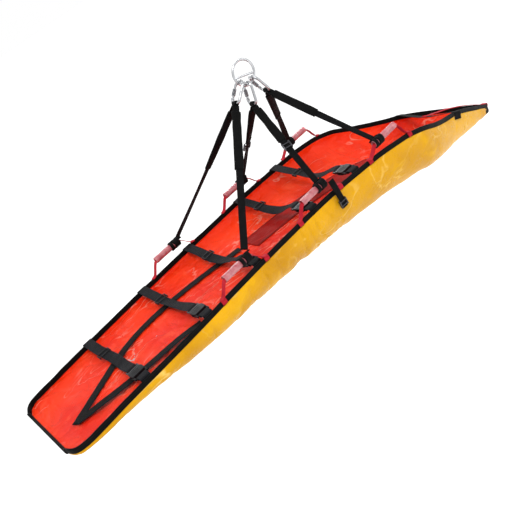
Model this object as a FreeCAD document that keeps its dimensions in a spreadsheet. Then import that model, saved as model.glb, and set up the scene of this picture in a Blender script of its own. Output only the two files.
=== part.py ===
"""Roll-up rescue stretcher hung level from a six-leg lifting bridle.

Frame: millimetres, +Z up, +X towards the head end, -Y the buckle side.
The origin is the seat at the top of the lifting ring, where a hoist hook carries it.
"""
import FreeCAD
import Part
import math
import os

Vector = FreeCAD.Vector
Rotation = FreeCAD.Rotation
Placement = FreeCAD.Placement

doc = FreeCAD.newDocument("rescue_stretcher")
sheet = doc.addObject("Spreadsheet::Sheet", "Sizes")

# Driving sizes. Heights are measured from the bed datum, the rim's level at the foot end.
SIZES = {
    "bed_length": 2300.0,        # foot edge to head tip, along X
    "foot_reach": 1150.0,        # foot edge behind the datum point
    "rim_width": 532.0,          # widest gap between the two rims
    "shell_depth": 195.0,        # deepest point of the outer shell below its edge tape
    "bed_depth": 118.0,          # deepest point of the liner below its edge tape
    "head_drop": 346.0,          # the head tip hangs this far below the datum
    "shell_wall": 3.0,
    "liner_wall": 2.0,
    "mattress_gap": 1.0,
    "batten_width": 60.0,
    "batten_thick": 4.0,
    "batten_pitch": 110.0,
    "binding_tall": 18.0,
    "binding_wide": 9.0,
    "end_tape": 7.0,
    "web_thick": 2.4,
    "strap_width": 38.0,
    "foot_strap_width": 34.0,
    "spine_width": 110.0,
    "lay_gap": 0.5,              # air between a webbing and what it lies on
    "strap_sag": 30.0,
    "strap_tail": 70.0,          # how far a strap runs down outside the far rim
    "slider_place": 100.0,       # slider's place on the far side of the centre line
    "slider_travel": 25.0,
    "slider_long": 26.0,
    "slider_rail": 4.0,
    "slider_bar": 4.0,
    "socket_long": 32.0,
    "socket_wide": 52.0,
    "socket_tall": 14.0,
    "socket_wall": 3.2,
    "buckle_inset": 36.0,        # socket's webbing bar to the near rim
    "web_window": 14.0,          # length of the frame that the webbing turns in
    "web_bar": 5.2,
    "ear_wide": 5.0,
    "plug_base": 12.0,
    "plug_gap": 0.6,
    "plug_arm": 7.0,
    "plug_reach": 26.0,
    "grip_length": 122.0,
    "grip_radius": 14.0,
    "grip_bore": 11.5,
    "handle_span": 196.0,
    "handle_rise": 46.0,
    "handle_width": 20.0,
    "handle_thick": 3.0,
    "sling_width": 25.0,
    "sling_thick": 5.0,
    "sleeve_share": 0.45,        # how much of a sling its upper sleeve covers
    "cover_width": 33.0,
    "cover_thick": 9.0,
    "eye_width": 20.0,
    "eye_thick": 4.0,
    "eye_gap": 1.2,
    "hitch_length": 44.0,
    "hitch_thick": 5.0,
    "ring_radius": 45.0,         # centre of the ring's wire
    "ring_wire": 5.0,
    "ring_bar_drop": 10.0,
    "ring_tilt": 15.6,           # the ring leans with the pull of the foot legs
    "ring_ahead": 121.0,         # ring centre ahead of the datum point
    "ring_height": 476.0,        # ring centre above the datum
    "hook_spread": 45.0,         # angle between neighbouring carabiners on the ring
    "hook_gap": 1.8,
    "krab_rod": 5.0,
    "krab_half": 23.0,
    "krab_straight": 44.0,
    "krab_corner": 13.0,
    "gate_radius": 4.4,
    "gate_gap": 0.8,
    "hinge_cheek": 2.2,
    "hinge_pin": 1.5,
    "sleeve_long": 24.0,
    "sleeve_down": 5.0,
    "sleeve_radius": 7.0,
    "sleeve_gap": 0.25,
    "lock_wide": 34.0,
    "lock_long": 30.0,
    "lock_tall": 9.0,
    "haul_width": 25.0,
}
for row, (alias, value) in enumerate(SIZES.items(), start=1):
    sheet.set("A%d" % row, alias)
    sheet.set("B%d" % row, str(value))
    sheet.setAlias("B%d" % row, alias)
doc.recompute()


def size(alias):
    """Return a driving size from the sheet."""
    return float(sheet.get(alias))


# Where things are along the bed, from the datum point towards the head.
STRAP_PLACES = [-849.0, -576.0, -336.0, -48.0, 174.0]
HANDLE_PLACES = [-407.0, -23.0, 344.0]
KNOT_SHIFTS = [38.0, 37.0, -38.0]

# The bed's form, station by station: share of the length from the foot edge,
# share of the rim width, rim height in shares of the head drop,
# share of the shell's depth and share of the bed's depth.
FORM = [
    (0.000, 0.680, 0.000, 0.05, 0.010),
    (0.005, 0.790, 0.000, 0.06, 0.015),
    (0.016, 0.860, 0.003, 0.08, 0.020),
    (0.034, 0.885, 0.006, 0.11, 0.030),
    (0.090, 0.895, 0.023, 0.20, 0.050),
    (0.220, 0.920, 0.049, 0.50, 0.130),
    (0.350, 0.908, 0.070, 0.68, 0.270),
    (0.480, 0.917, 0.078, 0.83, 0.480),
    (0.610, 0.962, 0.040, 0.96, 0.760),
    (0.680, 0.995, -0.020, 1.00, 0.930),
    (0.720, 0.990, -0.095, 0.99, 1.000),
    (0.765, 0.890, -0.235, 0.88, 0.900),
    (0.810, 0.725, -0.365, 0.76, 0.760),
    (0.855, 0.560, -0.480, 0.66, 0.640),
    (0.900, 0.405, -0.630, 0.52, 0.500),
    (0.940, 0.275, -0.775, 0.38, 0.340),
    (0.975, 0.150, -0.900, 0.24, 0.200),
    (1.000, 0.060, -1.000, 0.13, 0.080),
]
SHELL_POWER = 3.2    # superellipse power of the boxy outer section
BED_POWER = 2.4      # and of the rounder inner one
SECTION_STEPS = 16
LINER_SEAMS = (0, 5, 8, 11, 14, 17)     # stations of FORM where the liner's lengths meet
FLOOR_HALF = 165.0                      # the liner's floor panel, from its middle to its seam
FLOOR_SHARE = 0.7                       # the same in shares of the bed's half width, where it is narrow
NEAR, FAR = -1, 1
TO_X = Rotation(Vector(0, 1, 0), 90)    # turns local Z to +X
TO_Y = Rotation(Vector(1, 0, 0), -90)   # turns local Z to +Y
SIDES = (("near", NEAR), ("far", FAR))

# Where the foam, the battens and the webbing lie, from the datum point; (x, y) on the bed.
MATTRESS_FOOT, MATTRESS_HEAD = -900.0, 720.0
MATTRESS_SHARE = 0.62                   # of the bed's half width
BATTEN_HEAD = 600.0
SPINE_FOOT, SPINE_HEAD = -215.0, 900.0
SPINE_STEPS = 14
SPINE_SHARE = 0.42                      # of the bed's half width, where it is narrow
FOOT_LEG_FAR = [(-1080.0, -92.0), (-948.0, -30.0), (-765.0, 62.0), (-563.0, 72.0), (-250.0, 20.0)]
FOOT_LEG_NEAR = [(-1070.0, -96.0), (-860.0, -160.0), (-690.0, -176.0), (-600.0, -205.0)]
SAG_FAR, SAG_NEAR, SAG_LESS = 30.0, -45.0, 4.0   # a cross strap's low stretch
LAYERS_BELOW = 4                        # webbing layers left free under a cross strap
HANDLE_FOOT = 12.0                      # sewn end of a handle's webbing
HANDLE_BEND = 4.0                       # handle webbing beyond its grip before it turns down
TURN_TAIL = 12.0                        # webbing past the bar it turns round
EYE_CLEAR = 12.0                        # a sling's sleeve stops this short of its eye
ADJUSTER_SHARE = 0.47                   # up the sling from its hitch
TAIL_SHIFT = 76.0                       # loose tail, ahead of its handle
TAIL_DROPS = [(0.0, 42.0), (4.0, 8.0), (6.0, -72.0)]   # outward, above the rim
TAIL_LOCK_SHARE = 0.22
HEAD_STRAP_X = 815.0
HEAD_STRAP_SAG = 14.0
HEAD_STRAP_DROP = 30.0
HAUL_STOPS = [(930.0, 4.0), (1060.0, 10.0)]            # along the bed, above the rim
HAUL_SEAM = 16.0


def form_at(x):
    """Return half width, rim height, shell depth and bed depth at x, blended along FORM."""
    share = (x + size("foot_reach")) / size("bed_length")
    share = min(max(share, 0.0), 1.0)
    for low, high in zip(FORM, FORM[1:]):
        if share <= high[0]:
            break
    part_way = (share - low[0]) / (high[0] - low[0])
    wide, rim, shell, bed = (a + (b - a) * part_way for a, b in zip(low[1:], high[1:]))
    return (wide * size("rim_width") / 2, rim * size("head_drop"),
            shell * size("shell_depth"), bed * size("bed_depth"))


def stations():
    """Return the x of every station of the form."""
    return [share * size("bed_length") - size("foot_reach") for share, *_ in FORM]


def half_sine(value, power):
    """Return a signed power of a sine or cosine, the superellipse's parameter."""
    return math.copysign(abs(value) ** (2.0 / power), value)


def section_point(angle, wide, rim, depth, power):
    """Return (y, z) on a superellipse half section; angle 0 is the near rim, 180 the far one."""
    turn = math.radians(angle)
    return (-wide * half_sine(math.cos(turn), power), rim - depth * half_sine(math.sin(turn), power))


def bed_height(x, y):
    """Return the liner's upper face at (x, y)."""
    wide, rim, _, bed = form_at(x)
    inner = wide - size("shell_wall") - size("liner_wall")
    across = min(abs(y) / inner, 0.999)
    return rim - size("binding_tall") - bed * (1 - across ** BED_POWER) ** (1 / BED_POWER)


def curve(x, wide, rim, depth, power, first=0.0, last=180.0):
    """Return the section's curve in the plane at x, between two angles."""
    steps = [first + (last - first) * i / SECTION_STEPS for i in range(SECTION_STEPS + 1)]
    points = [Vector(x, *section_point(a, wide, rim, depth, power)) for a in steps]
    spline = Part.BSplineCurve()
    spline.interpolate(points)
    return spline.toShape()


def closed_between(lower, upper):
    """Return the closed wire of two section curves and the short edges that join their ends."""
    a, b = lower.Vertexes[0].Point, lower.Vertexes[-1].Point
    c, d = upper.Vertexes[0].Point, upper.Vertexes[-1].Point
    return Part.Wire([lower, Part.LineSegment(b, d).toShape(),
                      upper.reversed(), Part.LineSegment(c, a).toShape()])


def loft(wires):
    """Return the ruled solid through the wires."""
    return Part.makeLoft(wires, True, True)


PARTS = []


def feature(name, shape, place=None):
    """Add a finished shape to the document as a named sub-part."""
    obj = doc.addObject("Part::Feature", name)
    obj.Label = name
    obj.Shape = shape
    if place is not None:
        obj.Placement = place
    PARTS.append(obj)
    return obj


# ---- The bed: outer shell, mattress, battens, liner, edge binding ----

shell_wall = size("shell_wall")
liner_wall = size("liner_wall")
binding_tall = size("binding_tall")
binding_wide = size("binding_wide")
binding_mid = (shell_wall + liner_wall) / 2    # of the two walls it wraps, in from the shell's face


def shell_wires():
    """Return the outer shell's section at each station."""
    wires = []
    for x in stations():
        wide, rim, shell, _ = form_at(x)
        top = rim - binding_tall
        outer = curve(x, wide, top, shell, SHELL_POWER)
        inner = curve(x, wide - shell_wall, top, shell - shell_wall, SHELL_POWER)
        wires.append(closed_between(outer, inner))
    return wires


def liner_wires(panel):
    """Return the section of one of the liner's panels at each station: 0 near wall, 1 floor, 2 far wall."""
    wires = []
    for x in stations():
        wide, rim, _, bed = form_at(x)
        top = rim - binding_tall
        outer_wide = wide - shell_wall - size("lay_gap")
        inner_wide = wide - shell_wall - liner_wall
        share = min(FLOOR_HALF / inner_wide, FLOOR_SHARE)
        seam = math.degrees(math.acos(share ** (BED_POWER / 2)))
        edges = (0.0, seam, 180.0 - seam, 180.0)
        lower = curve(x, outer_wide, top, bed + liner_wall, BED_POWER, *edges[panel:panel + 2])
        upper = curve(x, inner_wide, top, bed, BED_POWER, *edges[panel:panel + 2])
        wires.append(closed_between(lower, upper))
    return wires


def liner_panels():
    """Return the liner's floor and walls in lengths that meet along their seams."""
    panels = []
    for panel in range(3):
        wires = liner_wires(panel)
        for start, end in zip(LINER_SEAMS, LINER_SEAMS[1:]):
            panels.append(loft(wires[start:end + 1]))
    return panels


def inner_height(x, y):
    """Return the outer shell's inner face at (x, y)."""
    wide, rim, shell, _ = form_at(x)
    across = min(abs(y) / (wide - shell_wall), 0.999)
    return rim - binding_tall - (shell - shell_wall) * (1 - across ** SHELL_POWER) ** (1 / SHELL_POWER)


def polygon(points):
    """Return a closed wire through the points."""
    return Part.makePolygon(list(points) + [points[0]])


def strip(places, y_edges, under, thick, steps=4):
    """Return a strip along X between the two y values of y_edges(x), its lower face at under(x, y)."""
    wires = []
    for x in places:
        y_low, y_high = y_edges(x)
        across = [y_low + (y_high - y_low) * i / steps for i in range(steps + 1)]
        low = [Vector(x, y, under(x, y)) for y in across]
        high = [p + Vector(0, 0, thick) for p in reversed(low)]
        wires.append(polygon(low + high))
    return loft(wires)


def between(low, high):
    """Return the station places between two x values, with both ends."""
    return [low] + [x for x in stations() if low + 1 < x < high - 1] + [high]


feature("outer_shell", loft(shell_wires()))
feature("inner_liner", Part.makeCompound(liner_panels()))


def mattress_wires():
    """Return the foam's section at each station between the battens and the liner."""
    wires = []
    lift = size("batten_thick") + 3 * size("mattress_gap")
    for x in between(MATTRESS_FOOT, MATTRESS_HEAD):
        wide = form_at(x)[0] * MATTRESS_SHARE
        across = [wide * i / 4 for i in range(-4, 5)]
        low = [Vector(x, y, inner_height(x, y) + lift) for y in across]
        high = [Vector(x, y, bed_height(x, y) - liner_wall - 2 * size("mattress_gap")) for y in across]
        wires.append(polygon(low + high[::-1]))
    return wires


feature("floor_mattress", loft(mattress_wires()))


def on_shell(x, y):
    """Return the underside of what lies on the outer shell's inner face."""
    return inner_height(x, y) + size("mattress_gap")


def batten_edges(lane):
    """Return the function that gives the two edges of the batten in a lane."""
    half_batten = size("batten_width") / 2
    middle = lane * size("batten_pitch")
    return lambda x: (middle - half_batten, middle + half_batten)


battens = [strip(between(MATTRESS_FOOT, BATTEN_HEAD), batten_edges(lane), on_shell,
                 size("batten_thick")) for lane in (-1, 0, 1)]
feature("floor_battens", Part.makeCompound(battens))


def binding_side(side):
    """Return the edge tape along one rim, from the foot edge to the head tip."""
    wires = []
    for x in stations():
        wide, rim, _, _ = form_at(x)
        y_in, y_out = (side * (wide - binding_mid + sign * binding_wide / 2) for sign in (-1, 1))
        wires.append(polygon([Vector(x, y_in, rim - binding_tall), Vector(x, y_out, rim - binding_tall),
                              Vector(x, y_out, rim), Vector(x, y_in, rim)]))
    return loft(wires)


def end_tape(x, reach):
    """Return the tape that closes the shell and the liner at one end."""
    wide, rim, shell, bed = form_at(x)
    top = rim - binding_tall
    lower = curve(x, wide, top, shell, SHELL_POWER)
    upper = curve(x, wide - shell_wall - liner_wall, top, bed, BED_POWER)
    face = Part.Face(closed_between(lower, upper))
    return face.extrude(Vector(reach, 0, 0))


foot_x = -size("foot_reach")
head_x = foot_x + size("bed_length")
feature("rim_binding_near", binding_side(NEAR))
feature("rim_binding_far", binding_side(FAR))
feature("foot_binding", end_tape(foot_x, -size("end_tape")))
feature("head_cap", end_tape(head_x, size("end_tape")))

# ---- Webbing on the bed ----

web_thick = size("web_thick")
lay_gap = size("lay_gap")


def on_bed(x, y):
    """Return the underside of a webbing that lies on the liner."""
    return bed_height(x, y) + 2 * lay_gap


spine_stops = [SPINE_FOOT + (SPINE_HEAD - SPINE_FOOT) * i / SPINE_STEPS for i in range(SPINE_STEPS + 1)]


def spine_edges(x):
    """Return the spine webbing's two edges, drawn in where the bed narrows."""
    half_spine = min(size("spine_width") / 2, form_at(x)[0] * SPINE_SHARE)
    return -half_spine, half_spine


feature("spine_webbing", strip(spine_stops, spine_edges, on_bed, web_thick))


def laid_ribbon(route, width, lift):
    """Return a flat webbing along a route of (x, y) points, lying on the liner."""
    points = [Vector(x, y, 0) for x, y in route]
    stops = []
    for a, b in zip(points, points[1:]):
        stops += [a + (b - a) * (i / 3.0) for i in range(3)]
    stops.append(points[-1])
    wires = []
    for i, stop in enumerate(stops):
        ahead = stops[min(i + 1, len(stops) - 1)] - stops[max(i - 1, 0)]
        ahead.normalize()
        side = Vector(-ahead.y, ahead.x, 0) * (width / 2)
        across = [stop + side * k for k in (-1, 0, 1)]
        low = [Vector(p.x, p.y, on_bed(p.x, p.y) + lift) for p in across]
        high = [p + Vector(0, 0, web_thick) for p in reversed(low)]
        wires.append(polygon(low + high))
    return loft(wires)


layer = web_thick + 2 * lay_gap
feature("foot_strap", Part.makeCompound([
    laid_ribbon(FOOT_LEG_FAR, size("foot_strap_width"), layer),
    laid_ribbon(FOOT_LEG_NEAR, size("foot_strap_width"), 2 * layer)]))


def thick_line(points, thick):
    """Return the closed outline of a band that follows (u, v) points with mitred corners."""
    left, right = [], []
    for i, (u, v) in enumerate(points):
        before = points[i - 1] if i else None
        after = points[i + 1] if i + 1 < len(points) else None
        normals = []
        for a, b in ((before, (u, v)), ((u, v), after)):
            if a is not None and b is not None:
                run, rise = b[0] - a[0], b[1] - a[1]
                long = math.hypot(run, rise)
                normals.append((-rise / long, run / long))
        nu = sum(n[0] for n in normals) / len(normals)
        nv = sum(n[1] for n in normals) / len(normals)
        stretch = thick / 2 / (nu * nu + nv * nv)
        left.append((u + nu * stretch, v + nv * stretch))
        right.append((u - nu * stretch, v - nv * stretch))
    return left + right[::-1]


def profile_body(name, plane, outline, width_formula, place):
    """Add a Body whose sketched outline is padded evenly both ways across its plane."""
    body = doc.addObject("PartDesign::Body", name)
    body.Label = name
    sketch = body.newObject("Sketcher::SketchObject", name + "_outline")
    support = next(f for f in body.Origin.OriginFeatures if f.Role == plane)
    sketch.AttachmentSupport = [(support, "")]
    sketch.MapMode = "FlatFace"
    corners = [Vector(u, v, 0) for u, v in outline]
    for a, b in zip(corners, corners[1:] + corners[:1]):
        sketch.addGeometry(Part.LineSegment(a, b), False)
    pad = body.newObject("PartDesign::Pad", name + "_pad")
    pad.Profile = sketch
    pad.Midplane = True
    pad.setExpression("Length", width_formula)
    sketch.Visibility = False
    body.Placement = place
    PARTS.append(body)
    return body


def along_x(x):
    """Return the placement of a piece drawn in the plane x = 0."""
    return Placement(Vector(x, 0, 0), Rotation())


# ---- Cross straps, their side-release buckles and sliders ----

socket_back = size("socket_long") + size("web_window")
bar_half = size("web_bar") / 2
turn_gap = bar_half + lay_gap + web_thick / 2


def rim_under(x, width):
    """Return the outermost and innermost half width and the highest rim under a webbing at x."""
    forms = [form_at(x + share * width / 2) for share in (-1, 0, 1)]
    return (max(form[0] for form in forms), min(form[0] for form in forms),
            max(form[1] for form in forms))


def strap_frame(x):
    """Return outer half width, inner half width, rim height and the y of the socket's mouth."""
    wide, slim, rim = rim_under(x, size("strap_width"))
    return wide, slim, rim, -(slim - size("buckle_inset") - socket_back)


def strap_low(x, rim):
    """Return the height of a strap's lowest stretch: it sags, but stays above the foot strap."""
    return max(rim - size("strap_sag"), bed_height(x, 0.0) + LAYERS_BELOW * layer)


def strap_route(x):
    """Return a strap's (y, z) route, from outside the far rim to the turn round the plug's bar."""
    wide, _, rim, mouth = strap_frame(x)
    low = strap_low(x, rim)
    outside = wide - binding_mid + binding_wide / 2 + lay_gap + web_thick / 2
    over = rim + lay_gap + web_thick / 2
    plug_bar = mouth + size("plug_base") + size("web_window") - bar_half
    return [(outside, rim - size("strap_tail")), (outside, over),
            (outside - binding_wide - 3 * web_thick, over),
            (SAG_FAR, low), (SAG_NEAR, low + SAG_LESS),
            (plug_bar + TURN_TAIL, rim + turn_gap), (plug_bar - turn_gap, rim + turn_gap),
            (plug_bar - turn_gap, rim - turn_gap), (plug_bar + TURN_TAIL, rim - turn_gap)]


def anchor_route(x):
    """Return the (y, z) route of the short webbing from the near rim round the socket's bar."""
    _, slim, rim, mouth = strap_frame(x)
    inside = -(slim - binding_mid - binding_wide / 2 - lay_gap - web_thick / 2)
    socket_bar = mouth - socket_back + bar_half
    return [(inside, rim - binding_tall + 2.0), (inside, rim + turn_gap),
            (socket_bar + turn_gap, rim + turn_gap), (socket_bar + turn_gap, rim - turn_gap),
            (socket_bar - TURN_TAIL, rim - turn_gap)]


def box(name, length, width, height, corner=()):
    """Add a box whose sizes are formulas on the sheet, with its low corner at corner."""
    obj = doc.addObject("Part::Box", name)
    obj.setExpression("Length", length)
    obj.setExpression("Width", width)
    obj.setExpression("Height", height)
    for axis, formula in zip("xyz", corner):
        obj.setExpression("Placement.Base." + axis, formula)
    return obj


def fuse(name, pieces):
    """Add the union of the pieces."""
    obj = doc.addObject("Part::MultiFuse", name)
    obj.Shapes = pieces
    return obj


def cut(name, base, tool):
    """Add base with tool taken away."""
    obj = doc.addObject("Part::Cut", name)
    obj.Base = base
    obj.Tool = tool
    return obj


def named_part(obj, name, place):
    """Give a finished object its label and its place, and list it as a sub-part."""
    obj.Label = name
    obj.Placement = place
    PARTS.append(obj)
    return obj


def group(name, pieces):
    """Make one sub-part of alike pieces, which stay separate solids."""
    obj = doc.addObject("Part::Compound", name)
    obj.Label = name
    obj.Links = pieces
    for piece in pieces:
        PARTS.remove(piece)
    PARTS.append(obj)
    return obj


def bar_frame(prefix, start, direction):
    """Return the two ears and the bar that webbing turns round, at one end of a buckle half."""
    low = start if direction > 0 else "%s - Sizes.web_window * 1mm" % start
    bar_low = ("%s + (Sizes.web_window - Sizes.web_bar) * 1mm" if direction > 0
               else "%s - Sizes.web_window * 1mm") % start
    ears = []
    for tag, corner_x in (("a", "-Sizes.socket_wide * 0.5mm"),
                          ("b", "(Sizes.socket_wide * 0.5 - Sizes.ear_wide) * 1mm")):
        ears.append(box(prefix + "_ear_" + tag, "Sizes.ear_wide * 1mm", "Sizes.web_window * 1mm",
                        "Sizes.socket_tall * 0.5mm", (corner_x, low, "-Sizes.socket_tall * 0.25mm")))
    ears.append(box(prefix + "_bar", "Sizes.socket_wide * 1mm", "Sizes.web_bar * 1mm",
                    "Sizes.web_bar * 1mm", ("-Sizes.socket_wide * 0.5mm", bar_low,
                                            "-Sizes.web_bar * 0.5mm")))
    return ears


def socket(name, place):
    """Add a buckle's socket; its mouth is at local y = 0 and its body runs towards -y."""
    body = box(name + "_body", "Sizes.socket_wide * 1mm", "Sizes.socket_long * 1mm",
               "Sizes.socket_tall * 1mm", ("-Sizes.socket_wide * 0.5mm", "-Sizes.socket_long * 1mm",
                                           "-Sizes.socket_tall * 0.5mm"))
    solid = fuse(name + "_solid", [body] + bar_frame(name, "-Sizes.socket_long * 1mm", -1))
    cavity = box(name + "_cavity", "(Sizes.socket_wide - 2 * Sizes.socket_wall) * 1mm",
                 "Sizes.socket_long * 1mm", "(Sizes.socket_tall - 2 * Sizes.socket_wall) * 1mm",
                 ("-(Sizes.socket_wide * 0.5 - Sizes.socket_wall) * 1mm",
                  "-(Sizes.socket_long - Sizes.socket_wall) * 1mm",
                  "-(Sizes.socket_tall * 0.5 - Sizes.socket_wall) * 1mm"))
    windows = box(name + "_windows", "(Sizes.socket_wide + 2) * 1mm", "Sizes.socket_long * 0.35mm",
                  "(Sizes.socket_tall - 2 * Sizes.socket_wall) * 1mm",
                  ("-(Sizes.socket_wide * 0.5 + 1) * 1mm", "-Sizes.socket_long * 0.7mm",
                   "-(Sizes.socket_tall * 0.5 - Sizes.socket_wall) * 1mm"))
    hollow = fuse(name + "_hollow", [cavity, windows])
    return named_part(cut(name, solid, hollow), name, place)


def plug(name, place):
    """Add a buckle's plug; its arms and guide stand in the socket from local y = 0 towards -y."""
    base = box(name + "_base", "(Sizes.socket_wide - 4) * 1mm",
               "(Sizes.plug_base - Sizes.plug_gap) * 1mm", "(Sizes.socket_tall - 2) * 1mm",
               ("-(Sizes.socket_wide * 0.5 - 2) * 1mm", "Sizes.plug_gap * 1mm",
                "-(Sizes.socket_tall * 0.5 - 1) * 1mm"))
    pieces = [base] + bar_frame(name, "Sizes.plug_base * 1mm", 1)
    inner_tall = "(Sizes.socket_tall - 2 * Sizes.socket_wall - 2 * Sizes.plug_gap) * 1mm"
    inner_low = "-(Sizes.socket_tall * 0.5 - Sizes.socket_wall - Sizes.plug_gap) * 1mm"
    arm_x = "Sizes.socket_wide * 0.5 - Sizes.socket_wall - Sizes.plug_gap"
    for tag, corner_x in (("left", "-(%s) * 1mm" % arm_x),
                          ("right", "(%s - Sizes.plug_arm) * 1mm" % arm_x),
                          ("guide", "-Sizes.plug_arm * 0.5mm")):
        pieces.append(box(name + "_" + tag, "Sizes.plug_arm * 1mm",
                          "(Sizes.plug_reach + Sizes.plug_gap) * 1mm", inner_tall,
                          (corner_x, "-Sizes.plug_reach * 1mm", inner_low)))
    return named_part(fuse(name, pieces), name, place)


def slider(name, place):
    """Add a webbing slider: two rails and three bars, the strap under, over and under them."""
    inner = "(Sizes.strap_width * 0.5 + Sizes.plug_gap)"
    tall = "(Sizes.web_thick + 2 * Sizes.lay_gap + 2 * Sizes.slider_bar * 0.7)"
    pieces = []
    for tag, corner_x in (("left", "-(%s + Sizes.slider_rail) * 1mm" % inner),
                          ("right", "%s * 1mm" % inner)):
        pieces.append(box(name + "_rail_" + tag, "Sizes.slider_rail * 1mm", "Sizes.slider_long * 1mm",
                          tall + " * 1mm", (corner_x, "-Sizes.slider_long * 0.5mm",
                                            "-%s * 0.5mm" % tall)))
    above = "(Sizes.web_thick * 0.5 + Sizes.lay_gap) * 1mm"
    below = "-(Sizes.web_thick * 0.5 + Sizes.lay_gap + Sizes.slider_bar * 0.7) * 1mm"
    for tag, corner_y, low in (("front", "-Sizes.slider_long * 0.5mm", above),
                               ("middle", "-Sizes.slider_bar * 0.5mm", below),
                               ("rear", "(Sizes.slider_long * 0.5 - Sizes.slider_bar) * 1mm", above)):
        pieces.append(box(name + "_bar_" + tag, "2 * %s * 1mm" % inner, "Sizes.slider_bar * 1mm",
                          "Sizes.slider_bar * 0.7mm", ("-%s * 1mm" % inner, corner_y, low)))
    return named_part(fuse(name, pieces), name, place)


def run_at(route, first, y):
    """Return z and the slope angle at y on the straight run between two route points."""
    (ya, za), (yb, zb) = route[first], route[first + 1]
    return za + (zb - za) * (y - ya) / (yb - ya), math.degrees(math.atan2(za - zb, ya - yb))


anchors, sockets = [], []
for number, x in enumerate(STRAP_PLACES, start=1):
    _, _, rim, mouth = strap_frame(x)
    route = strap_route(x)
    profile_body("cross_strap_%d" % number, "YZ_Plane", thick_line(route, web_thick),
                 "Sizes.strap_width * 1mm", along_x(x))
    anchors.append(profile_body("buckle_anchor_%d" % number, "YZ_Plane",
                                thick_line(anchor_route(x), web_thick),
                                "Sizes.strap_width * 1mm", along_x(x)))
    at_mouth = Placement(Vector(x, mouth, rim), Rotation())
    sockets.append(socket("buckle_socket_%d" % number, at_mouth))
    plug("buckle_plug_%d" % number, at_mouth)
    z, slope = run_at(route, 2, size("slider_place"))
    slider("strap_slider_%d" % number,
           Placement(Vector(x, size("slider_place"), z), Rotation(Vector(1, 0, 0), slope)))
group("buckle_anchors", anchors)
group("buckle_sockets", sockets)

# ---- Carrying handles and their grips ----

def cylinder(name, radius, height, corner=("0mm", "0mm", "0mm")):
    """Add a cylinder along local Z whose sizes are formulas on the sheet."""
    obj = doc.addObject("Part::Cylinder", name)
    obj.setExpression("Radius", radius)
    obj.setExpression("Height", height)
    for axis, formula in zip("xyz", corner):
        obj.setExpression("Placement.Base." + axis, formula)
    return obj


def tube(name, outer, inner, length, place):
    """Add a tube centred on its place, along local Z."""
    middle = ("0mm", "0mm", "-0.5 * (%s)" % length)
    solid = cut(name, cylinder(name + "_outside", outer, length, middle),
                cylinder(name + "_bore", inner, length, middle))
    return named_part(solid, name, place)


def grip_place(x, side):
    """Return the middle of the grip of the handle at x."""
    wide, rim, _, _ = form_at(x)
    return Vector(x, side * (wide - binding_mid), rim + size("handle_rise"))


def handle_route(x):
    """Return a handle webbing's (x, z) route from rim to rim through its grip."""
    reach, bend = size("handle_span") / 2, size("grip_length") / 2 + HANDLE_BEND
    grip_z = grip_place(x, FAR).z
    lift = lay_gap + size("handle_thick") / 2
    rear, front = ([(end, form_at(end)[1] + lift) for end in ends] for ends in
                   ((x - reach - HANDLE_FOOT, x - reach), (x + reach, x + reach + HANDLE_FOOT)))
    return rear + [(x - bend, grip_z), (x + bend, grip_z)] + front


for number, x in enumerate(HANDLE_PLACES, start=1):
    for word, side in SIDES:
        middle = grip_place(x, side)
        profile_body("handle_webbing_%s_%d" % (word, number), "XZ_Plane",
                     thick_line(handle_route(x), size("handle_thick")),
                     "Sizes.handle_width * 1mm", Placement(Vector(0, middle.y, 0), Rotation()))
        tube("handle_grip_%s_%d" % (word, number), "Sizes.grip_radius * 1mm", "Sizes.grip_bore * 1mm",
             "Sizes.grip_length * 1mm", Placement(middle, TO_X))

# ---- Lifting ring, carabiners and slings ----

ring_middle = Vector(size("ring_ahead"), 0, size("ring_height"))
ring_turn = Rotation(Vector(0, 1, 0), size("ring_tilt"))
wire = doc.addObject("Part::Torus", "ring_wire")
wire.setExpression("Radius1", "Sizes.ring_radius * 1mm")
wire.setExpression("Radius2", "Sizes.ring_wire * 1mm")
wire.Placement = Placement(Vector(), TO_Y)
chord = "sqrt(Sizes.ring_radius ^ 2 - Sizes.ring_bar_drop ^ 2)"
bar = cylinder("ring_bar", "Sizes.ring_wire * 0.8mm", "2 * %s * 1mm" % chord,
               ("-%s * 1mm" % chord, "0mm", "-Sizes.ring_bar_drop * 1mm"))
bar.Placement.Rotation = TO_X
named_part(fuse("lifting_ring", [wire, bar]), "lifting_ring", Placement(ring_middle, ring_turn))


def wire_point(number):
    """Return where carabiner 1, 2 or 3 crosses the ring's wire."""
    angle = math.radians((number - 2) * size("hook_spread"))
    return ring_middle + ring_turn.multVec(
        Vector(math.sin(angle), 0, -math.cos(angle)) * size("ring_radius"))


def knot_point(number, side):
    """Return the middle of the hitch on a handle's grip."""
    return grip_place(HANDLE_PLACES[number - 1], side) + Vector(KNOT_SHIFTS[number - 1], 0, 0)


def krab_place(number):
    """Return a carabiner's placement: origin on the ring's wire, -Z towards its two hitches."""
    start = wire_point(number)
    pull = knot_point(number, NEAR) + knot_point(number, FAR)
    pull = pull * 0.5 - start
    return Placement(start, Rotation(Vector(0, 1, 0), math.degrees(math.atan2(-pull.x, -pull.z))))


rod = size("krab_rod")
half = size("krab_half")
top_z = size("ring_wire") + rod + size("hook_gap")
nose_z = top_z - half
hinge_z = nose_z - size("krab_straight")
corner = size("krab_corner")
bottom_z = hinge_z - corner
gate_radius = size("gate_radius")
pivot_z = hinge_z + gate_radius + 1.2 * size("gate_gap")
flat_half = gate_radius / 2
cheek = size("hinge_cheek")


def rod_along(path):
    """Return the round rod whose centre follows the path."""
    start = path.Edges[0]
    point = start.valueAt(start.FirstParameter)
    heading = start.tangentAt(start.FirstParameter)
    circle = Part.Wire(Part.Circle(point, heading, rod).toShape())
    return Part.Wire(path.Edges).makePipeShell([circle], True, True)


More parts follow.
